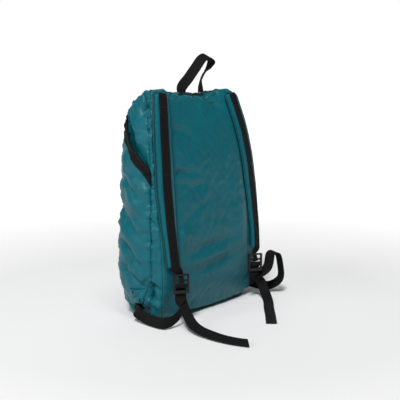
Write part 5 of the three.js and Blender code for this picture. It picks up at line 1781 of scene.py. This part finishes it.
def build_stage():
    """Pale floor, soft lights and the camera at the photo's angle."""
    scene = bpy.context.scene
    mesh = bpy.data.meshes.new("floor")
    corners = [(x * FLOOR_REACH, y * FLOOR_REACH, 0) for x, y in ((-1, -1), (1, -1), (1, 1), (-1, 1))]
    mesh.from_pydata(corners, [], [(0, 1, 2, 3)])
    floor = bpy.data.objects.new("floor", mesh)
    floor.location = (0, 0, -FLOOR_DROP)
    scene.collection.objects.link(floor)
    material = bpy.data.materials.new("floor")
    material.use_nodes = True
    shader = material.node_tree.nodes["Principled BSDF"]
    shader.inputs["Base Color"].default_value = (FLOOR_SHADE, FLOOR_SHADE, FLOOR_SHADE, 1)
    shader.inputs["Roughness"].default_value = 0.9
    shader.inputs["Specular IOR Level"].default_value = 0.1
    tree = material.node_tree
    place = Shade(tree, tree.nodes.new("ShaderNodeTexCoord").outputs["Object"])
    away = place.node("ShaderNodeVectorMath", 1, {"operation": "LENGTH"})
    tree.links.new(place.socket, away.socket.node.inputs[0])
    far = away.math("MINIMUM", away.math("MAXIMUM", (away - FLOOR_GLOW_START) * FLOOR_GLOW_RISE, 0.0), 1.0)
    connect(blend_colour(far, (0, 0, 0), (1, 1, 1)), shader, "Emission Color")
    shader.inputs["Emission Strength"].default_value = FLOOR_GLOW
    floor.data.materials.append(material)
    world = bpy.data.worlds.new("studio")
    world.use_nodes = True
    tree = world.node_tree
    coordinates = tree.nodes.new("ShaderNodeTexCoord")
    toward = Shade(tree, coordinates.outputs["Generated"]).node(
        "ShaderNodeVectorMath", 1, {"operation": "DOT_PRODUCT"})
    tree.links.new(coordinates.outputs["Generated"], toward.socket.node.inputs[0])
    toward.socket.node.inputs[1].default_value = BACKDROP_WAY
    glow = toward.math("SMOOTH_MAX", (toward - BACKDROP_START) * BACKDROP_RISE, AMBIENT, 0.1)
    tree.links.new(glow.math("MINIMUM", glow, 1.0).socket, tree.nodes["Background"].inputs[1])
    tree.nodes["Background"].inputs[0].default_value = (1, 1, 1, 1)
    scene.world = world
    for name, place, size, power in LIGHTS:
        area_light(name, place, LIGHT_TARGET, size, power)
    sun = bpy.data.lights.new("key", "SUN")
    sun.energy = SUN_STRENGTH
    sun.angle = math.radians(SUN_ANGLE)
    lamp = bpy.data.objects.new("key", sun)
    lamp.rotation_euler = facing(SUN_FROM)
    scene.collection.objects.link(lamp)
    scene.view_settings.view_transform = "Standard"
    camera = bpy.data.cameras.new("camera")
    camera.lens = CAMERA_LENS
    camera.sensor_width = CAMERA_SENSOR
    camera.shift_x = CAMERA_SHIFT
    camera.clip_start = 0.01
    camera.clip_end = 30
    obj = bpy.data.objects.new("camera", camera)
    obj.location = CAMERA_PLACE
    obj.rotation_euler = (math.radians(90 - CAMERA_DOWN), 0, math.radians(CAMERA_AZIMUTH))
    scene.collection.objects.link(obj)
    scene.camera = obj


# Properties, operators and panel


def length(name, description, default):
    return bpy.props.FloatProperty(name=name, description=description, default=default, min=0.0001,
                                   subtype="DISTANCE", unit="LENGTH", precision=4)


def colour(name, description, default):
    return bpy.props.FloatVectorProperty(name=name, description=description, default=default, size=3,
                                         min=0, max=1, subtype="COLOR")


class BackpackSizes(bpy.types.PropertyGroup):
    """Sizes of the bag and its trimmings."""

    height: length("Height", "Height of the bag's body", 0.416)
    width: length("Width", "Width of the bag's body", 0.306)
    depth: length("Depth", "Depth of the bag's body", 0.140)
    strap_width: length("Strap width", "Width of a padded shoulder strap", 0.048)
    strap_padding: length("Strap padding", "Thickness of a shoulder strap", 0.0052)
    webbing_width: length("Webbing width", "Width of the webbing", 0.020)
    webbing_thickness: length("Webbing thickness", "Thickness of the webbing", 0.0013)
    binding_width: length("Binding height", "Upright height of the pockets' binding", 0.028)
    stitch_length: length("Stitch length", "Length of one stitch", 0.0024)
    stitch_spacing: length("Stitch spacing", "Length from one stitch to the next", 0.0034)


class BackpackCloth(bpy.types.PropertyGroup):
    """How the cloth is simulated and creased."""

    pressure: bpy.props.FloatProperty(
        name="Pressure", description="Pressure that fills the shell", default=4.0)
    growth: bpy.props.FloatProperty(
        name="Panel growth", description="How much larger the panels are cut than the shell", default=0.035)
    seam_shrink: bpy.props.FloatProperty(
        name="Seam shrink", description="How much the seams draw in", default=0.05)
    bending: bpy.props.FloatProperty(name="Bending", description="Stiffness against bending", default=0.4)
    roughness: length("Roughness", "Unevenness of the cloth before the simulation", 0.0003)
    cap: length("Movement cap", "Most that the cloth may move in the simulation", 0.007)
    crinkle: bpy.props.FloatProperty(name="Crinkle", description="Depth of the small creases", default=1.0)
    pucker: bpy.props.FloatProperty(
        name="Pucker", description="Height of the puckers at the seams", default=1.0)
    frames: bpy.props.IntProperty(name="Frames", description="Frames of simulation", default=20, min=2)
    seed: bpy.props.IntProperty(name="Seed", description="Seed of the random creases", default=7)


class BackpackColours(bpy.types.PropertyGroup):
    """Colours of the bag."""

    nylon: colour("Nylon", "Colour of the cloth", (0.003, 0.112, 0.143))
    nylon_shade: colour("Base cloth", "Colour of the base", (0.003, 0.085, 0.108))
    webbing: colour("Webbing", "Colour of the webbing", (0.0065, 0.0065, 0.007))
    plastic: colour("Plastic", "Colour of the buckles", (0.006, 0.006, 0.0065))
    thread: colour("Thread", "Colour of the topstitching", (0.005, 0.075, 0.095))


class BACKPACK_OT_panels(bpy.types.Operator):
    """Make the shell of cloth panels"""

    bl_idname = "backpack.panels"
    bl_label = "Shell"

    def execute(self, context):
        build_panels()
        return {"FINISHED"}


class BACKPACK_OT_pockets(bpy.types.Operator):
    """Make the side pockets and their bindings"""

    bl_idname = "backpack.pockets"
    bl_label = "Side pockets"

    def execute(self, context):
        build_pockets()
        return {"FINISHED"}


class BACKPACK_OT_straps(bpy.types.Operator):
    """Make the padded shoulder straps and the webbing on them"""

    bl_idname = "backpack.straps"
    bl_label = "Shoulder straps"

    def execute(self, context):
        build_straps()
        build_strap_webbing()
        return {"FINISHED"}


class BACKPACK_OT_locks(bpy.types.Operator):
    """Make the ladder locks"""

    bl_idname = "backpack.locks"
    bl_label = "Ladder locks"

    def execute(self, context):
        build_locks()
        return {"FINISHED"}


class BACKPACK_OT_lower_straps(bpy.types.Operator):
    """Make the lower straps and their anchor tabs"""

    bl_idname = "backpack.lower_straps"
    bl_label = "Lower straps"

    def execute(self, context):
        build_lower_straps()
        return {"FINISHED"}


class BACKPACK_OT_haul_loop(bpy.types.Operator):
    """Make the haul loop"""

    bl_idname = "backpack.haul_loop"
    bl_label = "Haul loop"

    def execute(self, context):
        build_haul_loop()
        return {"FINISHED"}


class BACKPACK_OT_zip(bpy.types.Operator):
    """Make the main zip with its teeth, slider and pull"""

    bl_idname = "backpack.zip"
    bl_label = "Zip"

    def execute(self, context):
        build_zip()
        return {"FINISHED"}


class BACKPACK_OT_stitches(bpy.types.Operator):
    """Make the topstitching"""

    bl_idname = "backpack.stitches"
    bl_label = "Stitches"

    def execute(self, context):
        build_stitches()
        return {"FINISHED"}


class BACKPACK_OT_stage(bpy.types.Operator):
    """Make the floor, lights and camera"""

    bl_idname = "backpack.stage"
    bl_label = "Stage"

    def execute(self, context):
        build_stage()
        return {"FINISHED"}


OPERATORS = (
    BACKPACK_OT_panels,
    BACKPACK_OT_pockets,
    BACKPACK_OT_straps,
    BACKPACK_OT_locks,
    BACKPACK_OT_lower_straps,
    BACKPACK_OT_haul_loop,
    BACKPACK_OT_zip,
    BACKPACK_OT_stitches,
    BACKPACK_OT_stage,
)


class BACKPACK_PT_panel(bpy.types.Panel):
    """Sizes, cloth, colours and the steps that build the bag"""

    bl_idname = "BACKPACK_PT_panel"
    bl_label = "Backpack"
    bl_space_type = "VIEW_3D"
    bl_region_type = "UI"
    bl_category = "Backpack"

    def draw(self, context):
        scene = context.scene
        for group in (scene.backpack_sizes, scene.backpack_cloth, scene.backpack_colours):
            for name in type(group).__annotations__:
                self.layout.prop(group, name)
        for operator in OPERATORS:
            self.layout.operator(operator.bl_idname)


GROUPS = (
    ("backpack_sizes", BackpackSizes),
    ("backpack_cloth", BackpackCloth),
    ("backpack_colours", BackpackColours),
)


def register():
    for name, group in GROUPS:
        bpy.utils.register_class(group)
        setattr(bpy.types.Scene, name, bpy.props.PointerProperty(type=group))
    for operator in OPERATORS:
        bpy.utils.register_class(operator)
    bpy.utils.register_class(BACKPACK_PT_panel)


def unregister():
    bpy.utils.unregister_class(BACKPACK_PT_panel)
    for operator in reversed(OPERATORS):
        bpy.utils.unregister_class(operator)
    for name, group in reversed(GROUPS):
        delattr(bpy.types.Scene, name)
        bpy.utils.unregister_class(group)


def main():
    register()
    bpy.ops.backpack.panels()
    bpy.ops.backpack.pockets()
    bpy.ops.backpack.straps()
    bpy.ops.backpack.locks()
    bpy.ops.backpack.lower_straps()
    bpy.ops.backpack.haul_loop()
    bpy.ops.backpack.zip()
    bpy.ops.backpack.stitches()
    bpy.ops.backpack.stage()


if __name__ == "__main__":
    main()
